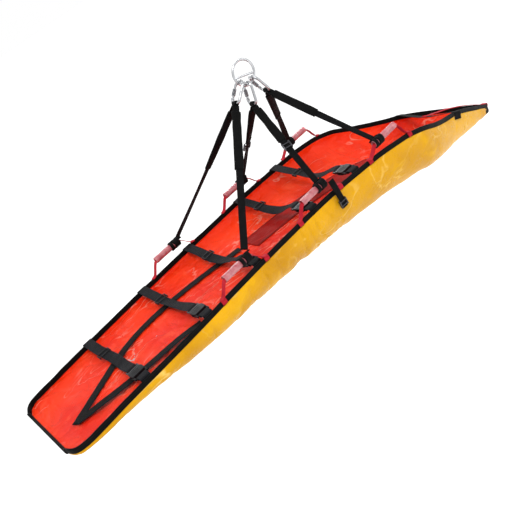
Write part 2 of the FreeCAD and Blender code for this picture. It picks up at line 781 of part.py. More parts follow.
def arc(a, b, c):
    """Return the arc edge through three (y, z) points in the plane x = 0."""
    return Part.Arc(*(Vector(0, y, z) for y, z in (a, b, c))).toShape()


def line(a, b):
    """Return the straight edge between two (y, z) points in the plane x = 0."""
    return Part.LineSegment(Vector(0, *a), Vector(0, *b)).toShape()


def frame_shape():
    """Return a carabiner's frame: hook, spine, foot and the two cheeks of the gate's hinge."""
    diagonal = corner * math.sqrt(0.5)
    path = Part.Wire([
        arc((half, nose_z), (0, nose_z + half), (-half, nose_z)),
        line((-half, nose_z), (-half, hinge_z)),
        arc((-half, hinge_z), (-half + corner - diagonal, hinge_z - diagonal), (-half + corner, bottom_z)),
        line((-half + corner, bottom_z), (half - corner, bottom_z)),
        arc((half - corner, bottom_z), (half - corner + diagonal, hinge_z - diagonal), (half, hinge_z)),
    ])
    solid = rod_along(path)
    tall = pivot_z + gate_radius - hinge_z + 2.0
    for low_x in (flat_half + 0.3, -flat_half - 0.3 - cheek):
        plate = Part.makeBox(cheek, 2 * gate_radius - 0.4, tall,
                             Vector(low_x, half - gate_radius + 0.2, hinge_z - 2.0))
        solid = solid.fuse(plate)
    pin = Part.makeCylinder(size("hinge_pin"), 2 * (flat_half + 0.3 + cheek),
                            Vector(-flat_half - 0.3 - cheek, half, pivot_z), Vector(1, 0, 0))
    return solid.fuse(pin).removeSplitter()


def gate_shape():
    """Return a gate: a round bar, flattened and rounded at its hinge, bored for the pin."""
    top = nose_z - size("gate_gap")
    bar = Part.makeCylinder(gate_radius, top - pivot_z, Vector(0, half, pivot_z))
    knuckle = Part.makeCylinder(gate_radius, 2 * gate_radius, Vector(-gate_radius, half, pivot_z),
                                Vector(1, 0, 0))
    solid = bar.fuse(knuckle)
    shoulder = pivot_z + 1.7 * gate_radius
    for low_x in (flat_half, -flat_half - gate_radius):
        solid = solid.cut(Part.makeBox(gate_radius, 4 * gate_radius, shoulder - pivot_z + 2 * gate_radius,
                                       Vector(low_x, half - 2 * gate_radius, pivot_z - 2 * gate_radius)))
    bore = Part.makeCylinder(size("hinge_pin") + 0.15, 2 * gate_radius,
                             Vector(-gate_radius, half, pivot_z), Vector(1, 0, 0))
    return solid.cut(bore)


eye_inner = rod + size("eye_gap")
eye_outer = eye_inner + size("eye_thick")
eye_mid = (eye_inner + eye_outer) / 2


def sling_legs(number):
    """Return the start and end of each leg of one carabiner's pair of slings."""
    place = krab_place(number)
    for word, side in SIDES:
        start = place.multVec(Vector(0, side * size("eye_width") / 4, bottom_z - eye_mid))
        knot = knot_point(number, side)
        run = start - knot
        run.normalize()
        clear = size("grip_radius") + size("hitch_thick") / 2 + size("sling_width") / 2 * abs(run.x)
        yield word, side, start, knot + run * (clear / math.hypot(run.y, run.z))


def sling_place(start, end):
    """Return the placement at a sling's lower end: +Z up the sling, X as near world X as it can be."""
    up = start - end
    up.normalize()
    across = Vector(1, 0, 0) - up * up.x
    across.normalize()
    return Placement(end, Rotation(across, up.cross(across), up, "ZXY"))


def sling_box(name, wide, thick, low, long):
    """Add a box along local Z: its two cross sizes are formulas, its start and length numbers."""
    return box(name, wide, thick, "%s mm" % long,
               ("-0.5 * (%s)" % wide, "-0.5 * (%s)" % thick, "%s mm" % low))


def sling_leg(name, start, end):
    """Add one leg of a sling, straight from its eye to its hitch."""
    leg = box(name, "Sizes.sling_width * 1mm", "Sizes.sling_thick * 1mm",
              "%s mm" % (start - end).Length)
    corner = Vector(-size("sling_width") / 2, -size("sling_thick") / 2, 0)
    return named_part(leg, name, sling_place(start, end).multiply(Placement(corner, Rotation())))


covers = []
for number in (1, 2, 3):
    place = krab_place(number)
    feature("carabiner_frame_%d" % number, frame_shape(), place)
    feature("carabiner_gate_%d" % number, gate_shape(), place)
    barrel = Vector(0, half, nose_z - size("sleeve_down") - size("sleeve_long") / 2)
    tube("carabiner_sleeve_%d" % number, "Sizes.sleeve_radius * 1mm",
         "(Sizes.gate_radius + Sizes.sleeve_gap) * 1mm", "Sizes.sleeve_long * 1mm",
         place.multiply(Placement(barrel, Rotation())))
    eye = tube("sling_eye_%d" % number, "%s mm" % eye_outer, "%s mm" % eye_inner,
               "Sizes.eye_width * 1mm", place.multiply(Placement(Vector(0, 0, bottom_z), TO_Y)))
    pieces = [eye]
    for word, side, start, end in sling_legs(number):
        name = "sling_%s_%d" % (word, number)
        long = (start - end).Length
        cover = long * size("sleeve_share") - EYE_CLEAR
        pieces.append(sling_leg(name + "_leg", start, end))
        pieces.append(tube(name + "_hitch", "(Sizes.grip_radius + Sizes.hitch_thick) * 1mm",
                           "(Sizes.grip_radius + Sizes.lay_gap) * 1mm", "Sizes.hitch_length * 1mm",
                           Placement(knot_point(number, side), TO_X)))
        outside = sling_box(name + "_cover", "Sizes.cover_width * 1mm", "Sizes.cover_thick * 1mm",
                            long * (1 - size("sleeve_share")), cover)
        inside = sling_box(name + "_core", "(Sizes.sling_width + 2 * Sizes.lay_gap) * 1mm",
                           "(Sizes.sling_thick + 2 * Sizes.lay_gap) * 1mm", 0.0, long)
        covers.append(named_part(cut(name + "_sleeve", outside, inside), name + "_sleeve",
                                 sling_place(start, end)))
    for piece in pieces:
        PARTS.remove(piece)
    named_part(fuse("sling_%d" % number, pieces), "sling_%d" % number, Placement())
group("sling_sleeves", covers)

# ---- Sling adjusters, the loose tail and the head end ----

def webbing_lock(name, formula_wide, formula_thick, place):
    """Add a ladder lock: a flat frame round a webbing that runs along local Z, with a middle bar."""
    frame = box(name + "_frame", "Sizes.lock_wide * 1mm", "Sizes.lock_tall * 1mm",
                "Sizes.lock_long * 1mm", ("-Sizes.lock_wide * 0.5mm", "-Sizes.lock_tall * 0.5mm",
                                          "-Sizes.lock_long * 0.5mm"))
    slot = box(name + "_slot", formula_wide, formula_thick, "(Sizes.lock_long + 2) * 1mm",
               ("-0.5 * (%s)" % formula_wide, "-0.5 * (%s)" % formula_thick,
                "-(Sizes.lock_long * 0.5 + 1) * 1mm"))
    return named_part(cut(name, frame, slot), name, place)


for word, side, start, end in sling_legs(2):
    up_sling = Placement(Vector(0, 0, (start - end).Length * ADJUSTER_SHARE), Rotation())
    webbing_lock("sling_adjuster_%s" % word, "(Sizes.sling_width + 2 * Sizes.plug_gap) * 1mm",
                 "(Sizes.sling_thick + 2 * Sizes.lay_gap) * 1mm",
                 sling_place(start, end).multiply(up_sling))

tail_x = HANDLE_PLACES[1] + TAIL_SHIFT
tail_wide, tail_rim, _, _ = form_at(tail_x)
tail_side = tail_wide - binding_mid + size("handle_width") / 2 + lay_gap + web_thick / 2
tail_route = [(-tail_side - out, tail_rim + up) for out, up in TAIL_DROPS]
profile_body("loose_tail", "YZ_Plane", thick_line(tail_route, web_thick),
             "Sizes.sling_width * 1mm", along_x(tail_x))
(low_y, low_z), (high_y, high_z) = tail_route[2], tail_route[1]
lean = math.degrees(math.atan2(low_y - high_y, high_z - low_z))
webbing_lock("tail_lock", "(Sizes.sling_width + 2 * Sizes.plug_gap) * 1mm",
             "(Sizes.web_thick + 2 * Sizes.lay_gap) * 1mm",
             Placement(Vector(tail_x, low_y + (high_y - low_y) * TAIL_LOCK_SHARE,
                              low_z + (high_z - low_z) * TAIL_LOCK_SHARE),
                       Rotation(Vector(1, 0, 0), lean)))

half_strap = size("strap_width") / 2
rise = form_at(HEAD_STRAP_X - half_strap)[1] - form_at(HEAD_STRAP_X + half_strap)[1]
head_wide = form_at(HEAD_STRAP_X - half_strap - HEAD_STRAP_DROP * rise / (2 * half_strap))[0]
head_place = Placement(Vector(HEAD_STRAP_X, 0, form_at(HEAD_STRAP_X)[1]),
                       Rotation(Vector(0, 1, 0), math.degrees(math.atan2(rise, 2 * half_strap))))
head_out = head_wide - binding_mid + binding_wide / 2 + lay_gap + web_thick / 2
head_top = lay_gap + web_thick / 2
head_flat = head_out - 2.5 * binding_wide
head_half = [(head_out, -HEAD_STRAP_DROP), (head_out, head_top), (head_flat, head_top),
             (size("haul_width"), head_top - HEAD_STRAP_SAG)]
head_route = head_half + [(-y, z) for y, z in reversed(head_half)]
profile_body("head_strap", "YZ_Plane", thick_line(head_route, web_thick),
             "Sizes.strap_width * 1mm", head_place)

seam_z = head_top - HEAD_STRAP_SAG + web_thick + lay_gap
seam = [head_place.multVec(Vector(x, 0, seam_z)) for x in (-half_strap, half_strap)]
haul_end = form_at(head_x)[1] + lay_gap + web_thick
haul_route = ([(p.x, p.z) for p in seam] + [(x, form_at(x)[1] + up) for x, up in HAUL_STOPS]
              + [(head_x, haul_end), (head_x + HAUL_SEAM, haul_end)])
profile_body("haul_loop", "XZ_Plane", thick_line(haul_route, web_thick),
             "Sizes.haul_width * 1mm", Placement())

# ---- Move everything so that the origin is the ring's seat on the hoist hook ----

seat = ring_middle + Vector(0, 0, size("ring_radius") - size("ring_wire"))
to_seat = Placement(-seat, Rotation())
doc.recompute()
for obj in PARTS:
    obj.Placement = to_seat.multiply(obj.Placement)
doc.recompute()

faults = [o.Name for o in doc.Objects if "Invalid" in o.State or "Error" in o.State]
faults += [o.Label for o in PARTS if o.Shape.isNull() or not o.Shape.isValid()]
if faults:
    raise RuntimeError("failed objects: " + ", ".join(faults))

os.makedirs("parts", exist_ok=True)
for obj in PARTS:
    obj.Shape.exportStep(os.path.join("parts", obj.Label + ".step"))
print("wrote %d parts, seat of the ring at %s" % (len(PARTS), tuple(round(c, 1) for c in seat)))
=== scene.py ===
"""Looks of a roll-up rescue stretcher that hangs from a six-leg lifting bridle.

Shapes are worked out in millimetres from the bed datum, the rim's level at the foot end, as the CAD part is,
and go into their meshes in metres from the ring's seat.
"""
import math

import bmesh
import bpy
import numpy as np
from mathutils import Matrix, Vector


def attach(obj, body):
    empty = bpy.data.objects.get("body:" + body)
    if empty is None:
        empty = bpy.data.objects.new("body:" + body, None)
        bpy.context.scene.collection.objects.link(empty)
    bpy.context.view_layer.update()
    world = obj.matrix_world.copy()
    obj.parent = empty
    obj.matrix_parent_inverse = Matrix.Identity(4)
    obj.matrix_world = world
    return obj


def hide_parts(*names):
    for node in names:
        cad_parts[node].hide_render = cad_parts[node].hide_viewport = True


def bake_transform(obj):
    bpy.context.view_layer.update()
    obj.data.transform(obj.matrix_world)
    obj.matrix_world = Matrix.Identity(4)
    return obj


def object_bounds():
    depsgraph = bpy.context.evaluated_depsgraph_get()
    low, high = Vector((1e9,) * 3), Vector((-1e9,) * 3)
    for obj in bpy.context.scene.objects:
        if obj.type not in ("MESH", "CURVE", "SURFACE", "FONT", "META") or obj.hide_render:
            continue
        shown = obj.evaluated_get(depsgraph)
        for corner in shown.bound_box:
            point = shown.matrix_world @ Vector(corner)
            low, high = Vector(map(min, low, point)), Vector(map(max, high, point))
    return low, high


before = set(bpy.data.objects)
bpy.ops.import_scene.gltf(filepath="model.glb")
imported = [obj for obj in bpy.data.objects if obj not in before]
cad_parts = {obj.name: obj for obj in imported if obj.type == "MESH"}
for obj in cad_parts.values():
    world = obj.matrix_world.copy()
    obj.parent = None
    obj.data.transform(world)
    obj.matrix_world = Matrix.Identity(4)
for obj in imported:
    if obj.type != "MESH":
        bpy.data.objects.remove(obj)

CAD_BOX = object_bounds()
SEAT = np.array([121.0, 0.0, 516.0])
NEAR, FAR = -1, 1
SIDES = (("near", NEAR), ("far", FAR))

# ---------------------------------------------------------------- the bed's form, as in the CAD part

BED_LENGTH, FOOT_REACH = 2300.0, 1150.0
RIM_WIDTH, SHELL_DEPTH, BED_DEPTH, HEAD_DROP = 532.0, 195.0, 118.0, 346.0
SHELL_POWER, BED_POWER = 3.2, 2.4
SHELL_WALL, LINER_WALL = 3.0, 2.0
TAPE_TALL, TAPE_WIDE = 18.0, 9.0
TAPE_IN = (SHELL_WALL + LINER_WALL) / 2
WEB = 2.4
LAY = 0.5
STRAP_PLACES = [-849.0, -576.0, -336.0, -48.0, 174.0]
STRAP_WIDTH = 38.0
HANDLE_PLACES = [-407.0, -23.0, 344.0]
KNOT_SHIFTS = [38.0, 37.0, -38.0]

# share of the length, of the rim width, rim height in head drops, share of the shell and of the bed depth
FORM = np.array([
    (0.000, 0.680, 0.000, 0.05, 0.010),
    (0.005, 0.790, 0.000, 0.06, 0.015),
    (0.016, 0.860, 0.003, 0.08, 0.020),
    (0.034, 0.885, 0.006, 0.11, 0.030),
    (0.090, 0.895, 0.023, 0.20, 0.050),
    (0.220, 0.920, 0.049, 0.50, 0.130),
    (0.350, 0.908, 0.070, 0.68, 0.270),
    (0.480, 0.917, 0.078, 0.83, 0.480),
    (0.610, 0.962, 0.040, 0.96, 0.760),
    (0.680, 0.995, -0.020, 1.00, 0.930),
    (0.720, 0.990, -0.095, 0.99, 1.000),
    (0.765, 0.890, -0.235, 0.88, 0.900),
    (0.810, 0.725, -0.365, 0.76, 0.760),
    (0.855, 0.560, -0.480, 0.66, 0.640),
    (0.900, 0.405, -0.630, 0.52, 0.500),
    (0.940, 0.275, -0.775, 0.38, 0.340),
    (0.975, 0.150, -0.900, 0.24, 0.200),
    (1.000, 0.060, -1.000, 0.13, 0.080),
])


def eased(x, xs, ys):
    """Cubic through the points.

    The slope at each point is the harmonic mean of its two runs' slopes, or 0 at a turn.
    """
    run = np.diff(xs)
    slope = np.diff(ys) / run
    both = slope[:-1] * slope[1:]
    mid = np.where(both > 0, 2 * both / np.where(both > 0, slope[:-1] + slope[1:], 1.0), 0.0)
    ends = np.concatenate([slope[:1], mid, slope[-1:]])
    i = np.clip(np.searchsorted(xs, x) - 1, 0, len(run) - 1)
    t = (x - xs[i]) / run[i]
    rise = ys[i + 1] - ys[i]
    lead, trail = ends[i] * run[i], ends[i + 1] * run[i]
    return ys[i] + t * lead + t * t * (3 * rise - 2 * lead - trail) + t ** 3 * (lead + trail - 2 * rise)


def form(x):
    """Half width, rim height, shell depth and bed depth at x, eased through FORM."""
    share = np.clip((np.asarray(x, float) + FOOT_REACH) / BED_LENGTH, 0.0, 1.0)
    wide, rim, shell, bed = (eased(share, FORM[:, 0], FORM[:, k]) for k in range(1, 5))
    return wide * RIM_WIDTH / 2, rim * HEAD_DROP, shell * SHELL_DEPTH, bed * BED_DEPTH


def section(t, wide, top, depth, power):
    """(y, z) on a superellipse half section, t from 0 at the near rim to 1 at the far one.

    The angle is 90 s^q / (s^q + (1-s)^q) from each rim, with s = 2t and q = power / 2, so steps are even.
    """
    s = 1 - np.abs(1 - 2 * t)
    q = power / 2
    turn = math.pi / 2 * s ** q / (s ** q + (1 - s) ** q)
    return (np.sign(t - 0.5) * wide * np.cos(turn) ** (2 / power),
            top - depth * np.sin(turn) ** (2 / power))


def bed_height(x, y):
    """The liner's upper face: rim - tape - bed (1 - |y / inner|^p)^(1/p)."""
    wide, rim, _, bed = form(x)
    across = np.minimum(np.abs(y) / (wide - SHELL_WALL - LINER_WALL), 0.999)
    return rim - TAPE_TALL - bed * (1 - across ** BED_POWER) ** (1 / BED_POWER)


# ---------------------------------------------------------------- folds and waves

def waves(p, size, seed, count=9):
    """Sum of count sine waves of random direction and phase, about size mm long, from -1 to 1."""
    rng = np.random.default_rng(seed)
    turn = rng.uniform(0, 2 * math.pi, count)
    lift = rng.uniform(-0.4, 0.4, count)
    number = 2 * math.pi / (size * rng.uniform(0.6, 1.7, count))
    ways = np.stack([np.cos(turn), np.sin(turn), lift], -1) * number[:, None]
    return np.sin(p @ ways.T + rng.uniform(0, 6.28, count)).mean(-1) * 1.6


def creases(p, size, seed):
    """Sharp ridges where slow waves cross zero, bent by slower ones: (1 - 1.5 |wave|)^5, never below 0."""
    bent = p + size * 0.5 * np.stack([waves(p, size * 2.2, seed + 7), waves(p, size * 2.2, seed + 8),
                                      np.zeros(p.shape[:-1])], -1)
    return np.clip(1 - np.abs(waves(bent, size, seed)) * 1.5, 0, 1) ** 5


def bump_at(value, middle, spread):
    """A bell of height 1 at middle: exp(-((value - middle) / spread)^2)."""
    return np.exp(-((value - middle) / spread) ** 2)


# ---------------------------------------------------------------- meshes from whole arrays

def unit(v):
    """v over its length."""
    return v / np.maximum(np.linalg.norm(v, axis=-1, keepdims=True), 1e-9)


def loft(name, rings, body, finish, replaces=(), closed=False, u=None, v=None):
    """Closed solid through rings of points (rows, columns, 3); a cap joins column j to column n-1-j.

    The UV map holds metres along the rows and metres round the columns.
    A piece with no body is left unattached.
    """
    rings = np.asarray(rings, float)
    rows, cols = rings.shape[:2]
    i = np.arange(rows if closed else rows - 1)[:, None]
    j = np.arange(cols)[None, :]
    ring_next, col_next = (i + 1) % rows, (j + 1) % cols
    quads = np.stack([i * cols + j, ring_next * cols + j, ring_next * cols + col_next,
                      i * cols + col_next], -1).reshape(-1, 4)
    if u is None:
        steps = np.linalg.norm(np.diff(rings.mean(1), axis=0), axis=-1)
        u = np.concatenate([[0.0], np.cumsum(steps)]) / 1000
        u = np.append(u, u[-1] + np.linalg.norm(rings[0].mean(0) - rings[-1].mean(0)) / 1000)
    if v is None:
        middle = rings[rows // 2]
        around = np.linalg.norm(np.roll(middle, -1, 0) - middle, axis=-1)
        v = np.concatenate([[0.0], np.cumsum(around)]) / 1000
    uv = np.stack(np.broadcast_arrays(
        np.stack([u[i], u[i + 1], u[i + 1], u[i]], -1),
        np.stack([v[j], v[j], v[j + 1], v[j + 1]], -1)), -1).reshape(-1, 2)
    if not closed:
        k = np.arange(cols // 2 - 1)
        start = np.stack([k, k + 1, cols - 2 - k, cols - 1 - k], -1)
        caps = np.concatenate([start, start[:, ::-1] + (rows - 1) * cols])
        quads = np.concatenate([quads, caps])
        uv = np.concatenate([uv, np.zeros((caps.size, 2))])
    mesh = bpy.data.meshes.new(name)
    mesh.from_pydata(((rings.reshape(-1, 3) - SEAT) / 1000).tolist(), [], quads.tolist())
    mesh.uv_layers.new(name="cloth").data.foreach_set("uv", uv.ravel())
    work = bmesh.new()
    work.from_mesh(mesh)
    bmesh.ops.recalc_face_normals(work, faces=work.faces)
    work.to_mesh(mesh)
    work.free()
    mesh.polygons.foreach_set("use_smooth", np.ones(len(mesh.polygons), bool))
    mesh.materials.append(finish)
    piece = bpy.data.objects.new(name, mesh)
    bpy.context.scene.collection.objects.link(piece)
    if body:
        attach(piece, body)
    if replaces:
        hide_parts(*replaces)
    return piece


def softened(points, rounds=3):
    """Corner cutting: each run keeps its quarter points, rounds times over; the ends stay."""
    points = np.asarray(points, float)
    for _ in range(rounds):
        a, b = points[:-1], points[1:]
        cut = np.stack([0.75 * a + 0.25 * b, 0.25 * a + 0.75 * b], 1).reshape(-1, 3)
        points = np.concatenate([points[:1], cut, points[-1:]])
    return points


def even(points, step):
    """The same line with points step mm apart."""
    points = np.asarray(points, float)
    far = np.concatenate([[0.0], np.cumsum(np.linalg.norm(np.diff(points, axis=0), axis=-1))])
    stops = np.linspace(0, far[-1], max(int(far[-1] / step), 2) + 1)
    return np.stack([np.interp(stops, far, points[:, k]) for k in range(3)], -1)


def flat_profile(width, thick, columns=12, power=4.0):
    """Ring of a flat band: superellipse of the width and thickness, its first half the upper face."""
    turn = 2 * math.pi * (np.arange(2 * columns) + 0.5) / (2 * columns)
    y, z = np.cos(turn), np.sin(turn)
    return np.stack([width / 2 * np.sign(y) * np.abs(y) ** (2 / power),
                     thick / 2 * np.sign(z) * np.abs(z) ** (2 / power)], -1)


def swept(line, side, profile):
    """Rings of a profile carried along a line; side is its first axis, made square to the line."""
    ahead = unit(np.gradient(line, axis=0))
    side = np.broadcast_to(np.asarray(side, float), line.shape)
    side = unit(side - ahead * (side * ahead).sum(-1, keepdims=True))
    up = np.cross(ahead, side)
    profile = np.broadcast_to(profile, (len(line),) + np.shape(profile)[-2:])
    return line[:, None] + side[:, None] * profile[..., :1] + up[:, None] * profile[..., 1:]


def band(name, line, side, width, thick, body, finish, replaces=()):
    """Webbing: a flat profile carried along a line."""
    return loft(name, swept(line, side, flat_profile(width, thick)), body, finish, replaces)


def turned(profile, centre, axis, cross, columns=32):
    """Rings of a closed outline (radius, height) turned about an axis: one ring per outline point."""
    axis, cross = unit(np.asarray(axis, float)), unit(np.asarray(cross, float))
    turn = 2 * math.pi * np.arange(columns) / columns
    out = np.cos(turn)[:, None] * cross + np.sin(turn)[:, None] * np.cross(axis, cross)
    profile = np.asarray(profile, float)
    return centre + out[None] * profile[:, None, :1] + axis * profile[:, None, 1:]


# ---------------------------------------------------------------- materials

def shader(name, base, rough, **sockets):
    """New material: its Principled shader's own sockets hold every even value."""
    made = bpy.data.materials.new(name)
    made.use_nodes = True
    surface = made.node_tree.nodes["Principled BSDF"]
    surface.inputs["Base Color"].default_value = (*base, 1)
    surface.inputs["Roughness"].default_value = rough
    for socket, value in sockets.items():
        surface.inputs[socket.replace("_", " ")].default_value = value
    return made, made.node_tree, surface


def add(tree, kind, links=(), **values):
    """Add a node, set its attributes or inputs by name, and link its inputs."""
    node = tree.nodes.new(kind)
    for key, value in values.items():
        if hasattr(node, key):
            setattr(node, key, value)
        else:
            node.inputs[key.replace("_", " ")].default_value = value
    for socket, source in dict(links).items():
        tree.links.new(source, node.inputs[socket])
    return node


def noise_on(tree, coords, scale, detail=3.0, distortion=0.0):
    """Noise texture on the given coordinates, its scale in waves per metre."""
    return add(tree, "ShaderNodeTexNoise", {"Vector": coords}, Scale=scale, Detail=detail,
               Distortion=distortion).outputs["Fac"]


def mixed(tree, factor, low, high):
    """Colour between two colours by a factor."""
    node = add(tree, "ShaderNodeMix", {0: factor}, data_type="RGBA")
    node.inputs[6].default_value = (*low, 1)
    node.inputs[7].default_value = (*high, 1)
    return node.outputs[2]


def spread(tree, value, low, high, to_low=0.0, to_high=1.0):
    """Map a value's range to another one, clamped."""
    return add(tree, "ShaderNodeMapRange", {"Value": value}, From_Min=low, From_Max=high,
               To_Min=to_low, To_Max=to_high).outputs["Result"]


def combine(tree, operation, a, b):
    """One maths step on two values or sockets."""
    node = add(tree, "ShaderNodeMath", operation=operation)
    for k, item in enumerate((a, b)):
        if isinstance(item, (int, float)):
            node.inputs[k].default_value = item
        else:
            tree.links.new(item, node.inputs[k])
    return node.outputs[0]


def bumped(tree, surface, height, strength, distance):
    """Raise the surface by a height, over a distance in metres."""
    node = add(tree, "ShaderNodeBump", {"Height": height}, Strength=strength, Distance=distance)
    tree.links.new(node.outputs["Normal"], surface.inputs["Normal"])


def coated_fabric(name, base, dark, light, rough, gloss, crumple, pale):
    """Coated fabric: crumples, thin creases with a painted highlight (mixed towards the pale colour), a fine
    base weave, scuffs in colour and gloss.
    """
    made, tree, surface = shader(name, base, rough, Specular_IOR_Level=gloss)
    where = add(tree, "ShaderNodeTexCoord").outputs["Object"]
    broad = noise_on(tree, where, 4.0, 2.0)
    patch = noise_on(tree, where, 17.0, 4.0, 0.6)
    fine = noise_on(tree, where, 55.0, 3.0, 0.8)
    cells = add(tree, "ShaderNodeTexVoronoi", {"Vector": where}, feature="DISTANCE_TO_EDGE", Scale=13.0)
    fold = spread(tree, cells.outputs["Distance"], 0.0, 0.16)
    tone = mixed(tree, spread(tree, broad, 0.35, 0.65), dark, base)
    scuff = spread(tree, patch, 0.56, 0.78, 0.0, 0.55)
    worn = add(tree, "ShaderNodeMix", {0: scuff, 6: tone}, data_type="RGBA")
    worn.inputs[7].default_value = (*light, 1)
    stretched = add(tree, "ShaderNodeMapping", {"Vector": where}, Rotation=(0, 0, 0.9),
                    Scale=(0.55, 1.7, 1.2)).outputs[0]
    wander = noise_on(tree, stretched, 6.5, 2.5, 1.3)
    off_line = combine(tree, "ABSOLUTE", combine(tree, "SUBTRACT", wander, 0.5), 0.0)
    where_creased = spread(tree, noise_on(tree, where, 5.5, 1.0, 0.3), 0.46, 0.62)
    crease = combine(tree, "MULTIPLY", spread(tree, off_line, 0.0, 0.022, 1.0, 0.0), where_creased)
    # painted highlight: thin crease lines are mixed towards the pale colour, standing in for lamp glints on
    # the folds
    crease_highlight = add(tree, "ShaderNodeMix", {0: combine(tree, "MULTIPLY", crease, 0.62), 6: worn.outputs[2]},
                 data_type="RGBA")
    crease_highlight.inputs[7].default_value = (*pale, 1)
    tree.links.new(crease_highlight.outputs[2], surface.inputs["Base Color"])
    tree.links.new(spread(tree, patch, 0.3, 0.75, rough * 0.75, rough * 1.5), surface.inputs["Roughness"])
    threads = []
    for turn in (0.0, math.pi / 2):
        grain = add(tree, "ShaderNodeMapping", {"Vector": where}, Rotation=(0, 0, turn))
        threads.append(add(tree, "ShaderNodeTexWave", {"Vector": grain.outputs[0]}, Scale=420.0,
                           Distortion=0.6).outputs["Fac"])
    cloth = combine(tree, "MULTIPLY", combine(tree, "ADD", *threads), 0.03)
    relief = combine(tree, "ADD", patch, combine(tree, "MULTIPLY", fine, 0.35))
    relief = combine(tree, "ADD", relief, combine(tree, "MULTIPLY", fold, 0.25))
    relief = combine(tree, "ADD", relief, combine(tree, "MULTIPLY", crease, 0.45))
    bumped(tree, surface, combine(tree, "ADD", relief, cloth), crumple, 0.012)
    return made


def webbing(name, base, light, pitch=2.2):
    """Woven tape on its own UV map: a herringbone of ribs across and along, painted shade in the rib valleys,
    fuzzy sheen.
    """
    made, tree, surface = shader(name, base, 0.6, Sheen_Weight=0.02, Sheen_Roughness=0.4,
                                 Specular_IOR_Level=0.05)
    uv = add(tree, "ShaderNodeUVMap", uv_map="cloth").outputs[0]
    parts = add(tree, "ShaderNodeSeparateXYZ", {0: uv})
    along = combine(tree, "MULTIPLY", parts.outputs[0], 2000 * math.pi / pitch)
    across = combine(tree, "MULTIPLY", parts.outputs[1], 2000 * math.pi / (pitch * 0.8))
    rib = combine(tree, "SINE", combine(tree, "ADD", along, combine(tree, "SINE", across, 0.0)), 0.0)
    ribs = combine(tree, "MULTIPLY", combine(tree, "ADD", rib, combine(tree, "SINE", across, 0.0)), 0.25)
    height = combine(tree, "ADD", ribs, 0.5)
    where = add(tree, "ShaderNodeTexCoord").outputs["Object"]
    worn = noise_on(tree, where, 40.0, 4.0)
    # painted shade: the colour follows the rib height, darker in the valleys and lighter on the rib tops,
    # varied by random wear patches
    shade = combine(tree, "MULTIPLY", height, spread(tree, worn, 0.3, 0.75, 0.5, 1.3))
    tree.links.new(mixed(tree, spread(tree, shade, 0.1, 1.0), base, light), surface.inputs["Base Color"])
    bumped(tree, surface, height, 0.5, 0.0008)
    return made


def moulded(name, base, rough, coat=0.0):
    """Moulded plastic: fine spark-eroded grain, handling scuffs in colour and gloss."""
    made, tree, surface = shader(name, base, rough, Coat_Weight=coat, Coat_Roughness=0.1,
                                 Specular_IOR_Level=0.2)
    where = add(tree, "ShaderNodeTexCoord").outputs["Object"]
    grain = noise_on(tree, where, 1400.0, 2.0)
    scuff = noise_on(tree, where, 70.0, 5.0, 1.2)
    light = tuple(min(c * 2.2 + 0.006, 1.0) for c in base)
    tree.links.new(mixed(tree, spread(tree, scuff, 0.58, 0.8), base, light), surface.inputs["Base Color"])
    tree.links.new(spread(tree, scuff, 0.35, 0.7, rough, min(rough * 1.6, 1.0)), surface.inputs["Roughness"])
    bumped(tree, surface, grain, 0.25, 0.0003)
    return made


def metal(name, base, rough, knurl=0.0):
    """Bare metal: drawn lines along the wire, dull patches, and a diamond knurl where asked."""
    made, tree, surface = shader(name, base, rough, Metallic=1.0)
    where = add(tree, "ShaderNodeTexCoord").outputs["Object"]
    dull = noise_on(tree, where, 60.0, 4.0, 0.5)
    drawn = noise_on(tree, add(tree, "ShaderNodeMapping", {"Vector": where},
                               Scale=(60.0, 1500.0, 60.0)).outputs[0], 1.0, 2.0)
    tree.links.new(spread(tree, dull, 0.35, 0.7, rough * 0.7, rough * 1.7), surface.inputs["Roughness"])
    shade = tuple(c * 0.62 for c in base)
    tree.links.new(mixed(tree, spread(tree, dull, 0.3, 0.75), base, shade), surface.inputs["Base Color"])
    height = drawn
    if knurl:
        uv = add(tree, "ShaderNodeUVMap", uv_map="cloth").outputs[0]
        parts = add(tree, "ShaderNodeSeparateXYZ", {0: uv})
        lines = []
        for way in (1.0, -1.0):
            slant = combine(tree, "ADD", parts.outputs[0], combine(tree, "MULTIPLY", parts.outputs[1], way))
            lines.append(combine(tree, "SINE", combine(tree, "MULTIPLY", slant, 2000 * math.pi / knurl), 0.0))
        height = combine(tree, "ADD", *lines)
    bumped(tree, surface, height, 0.8 if knurl else 0.12, 0.0004)
    return made


# each coated fabric's last colour is the painted highlight along its creases
yellow_skin = coated_fabric("yellow_skin", (0.70, 0.355, 0.0), (0.52, 0.24, 0.0), (0.78, 0.43, 0.0),
                            0.30, 0.14, 0.50, (0.90, 0.62, 0.16))
red_skin = coated_fabric("red_skin", (0.93, 0.040, 0.003), (0.76, 0.014, 0.001), (0.97, 0.085, 0.022),
                         0.17, 0.24, 0.80, (0.98, 0.34, 0.24))
spine_cloth = coated_fabric("spine_cloth", (0.30, 0.005, 0.003), (0.22, 0.004, 0.002),
                            (0.36, 0.010, 0.006), 0.5, 0.05, 0.30, (0.42, 0.02, 0.014))
tape_black = webbing("tape_black", (0.001, 0.001, 0.001), (0.006, 0.006, 0.006), 1.8)
web_black = webbing("web_black", (0.001, 0.001, 0.001), (0.007, 0.007, 0.008))
web_grey = webbing("web_grey", (0.003, 0.003, 0.004), (0.017, 0.018, 0.021))
web_red = webbing("web_red", (0.30, 0.006, 0.012), (0.52, 0.020, 0.038))
plastic_black = moulded("plastic_black", (0.003, 0.003, 0.004), 0.38)
plastic_face = moulded("plastic_face", (0.008, 0.009, 0.011), 0.18, 0.35)
steel = metal("steel", (0.62, 0.63, 0.65), 0.22)
alloy = metal("alloy", (0.55, 0.56, 0.58), 0.26)
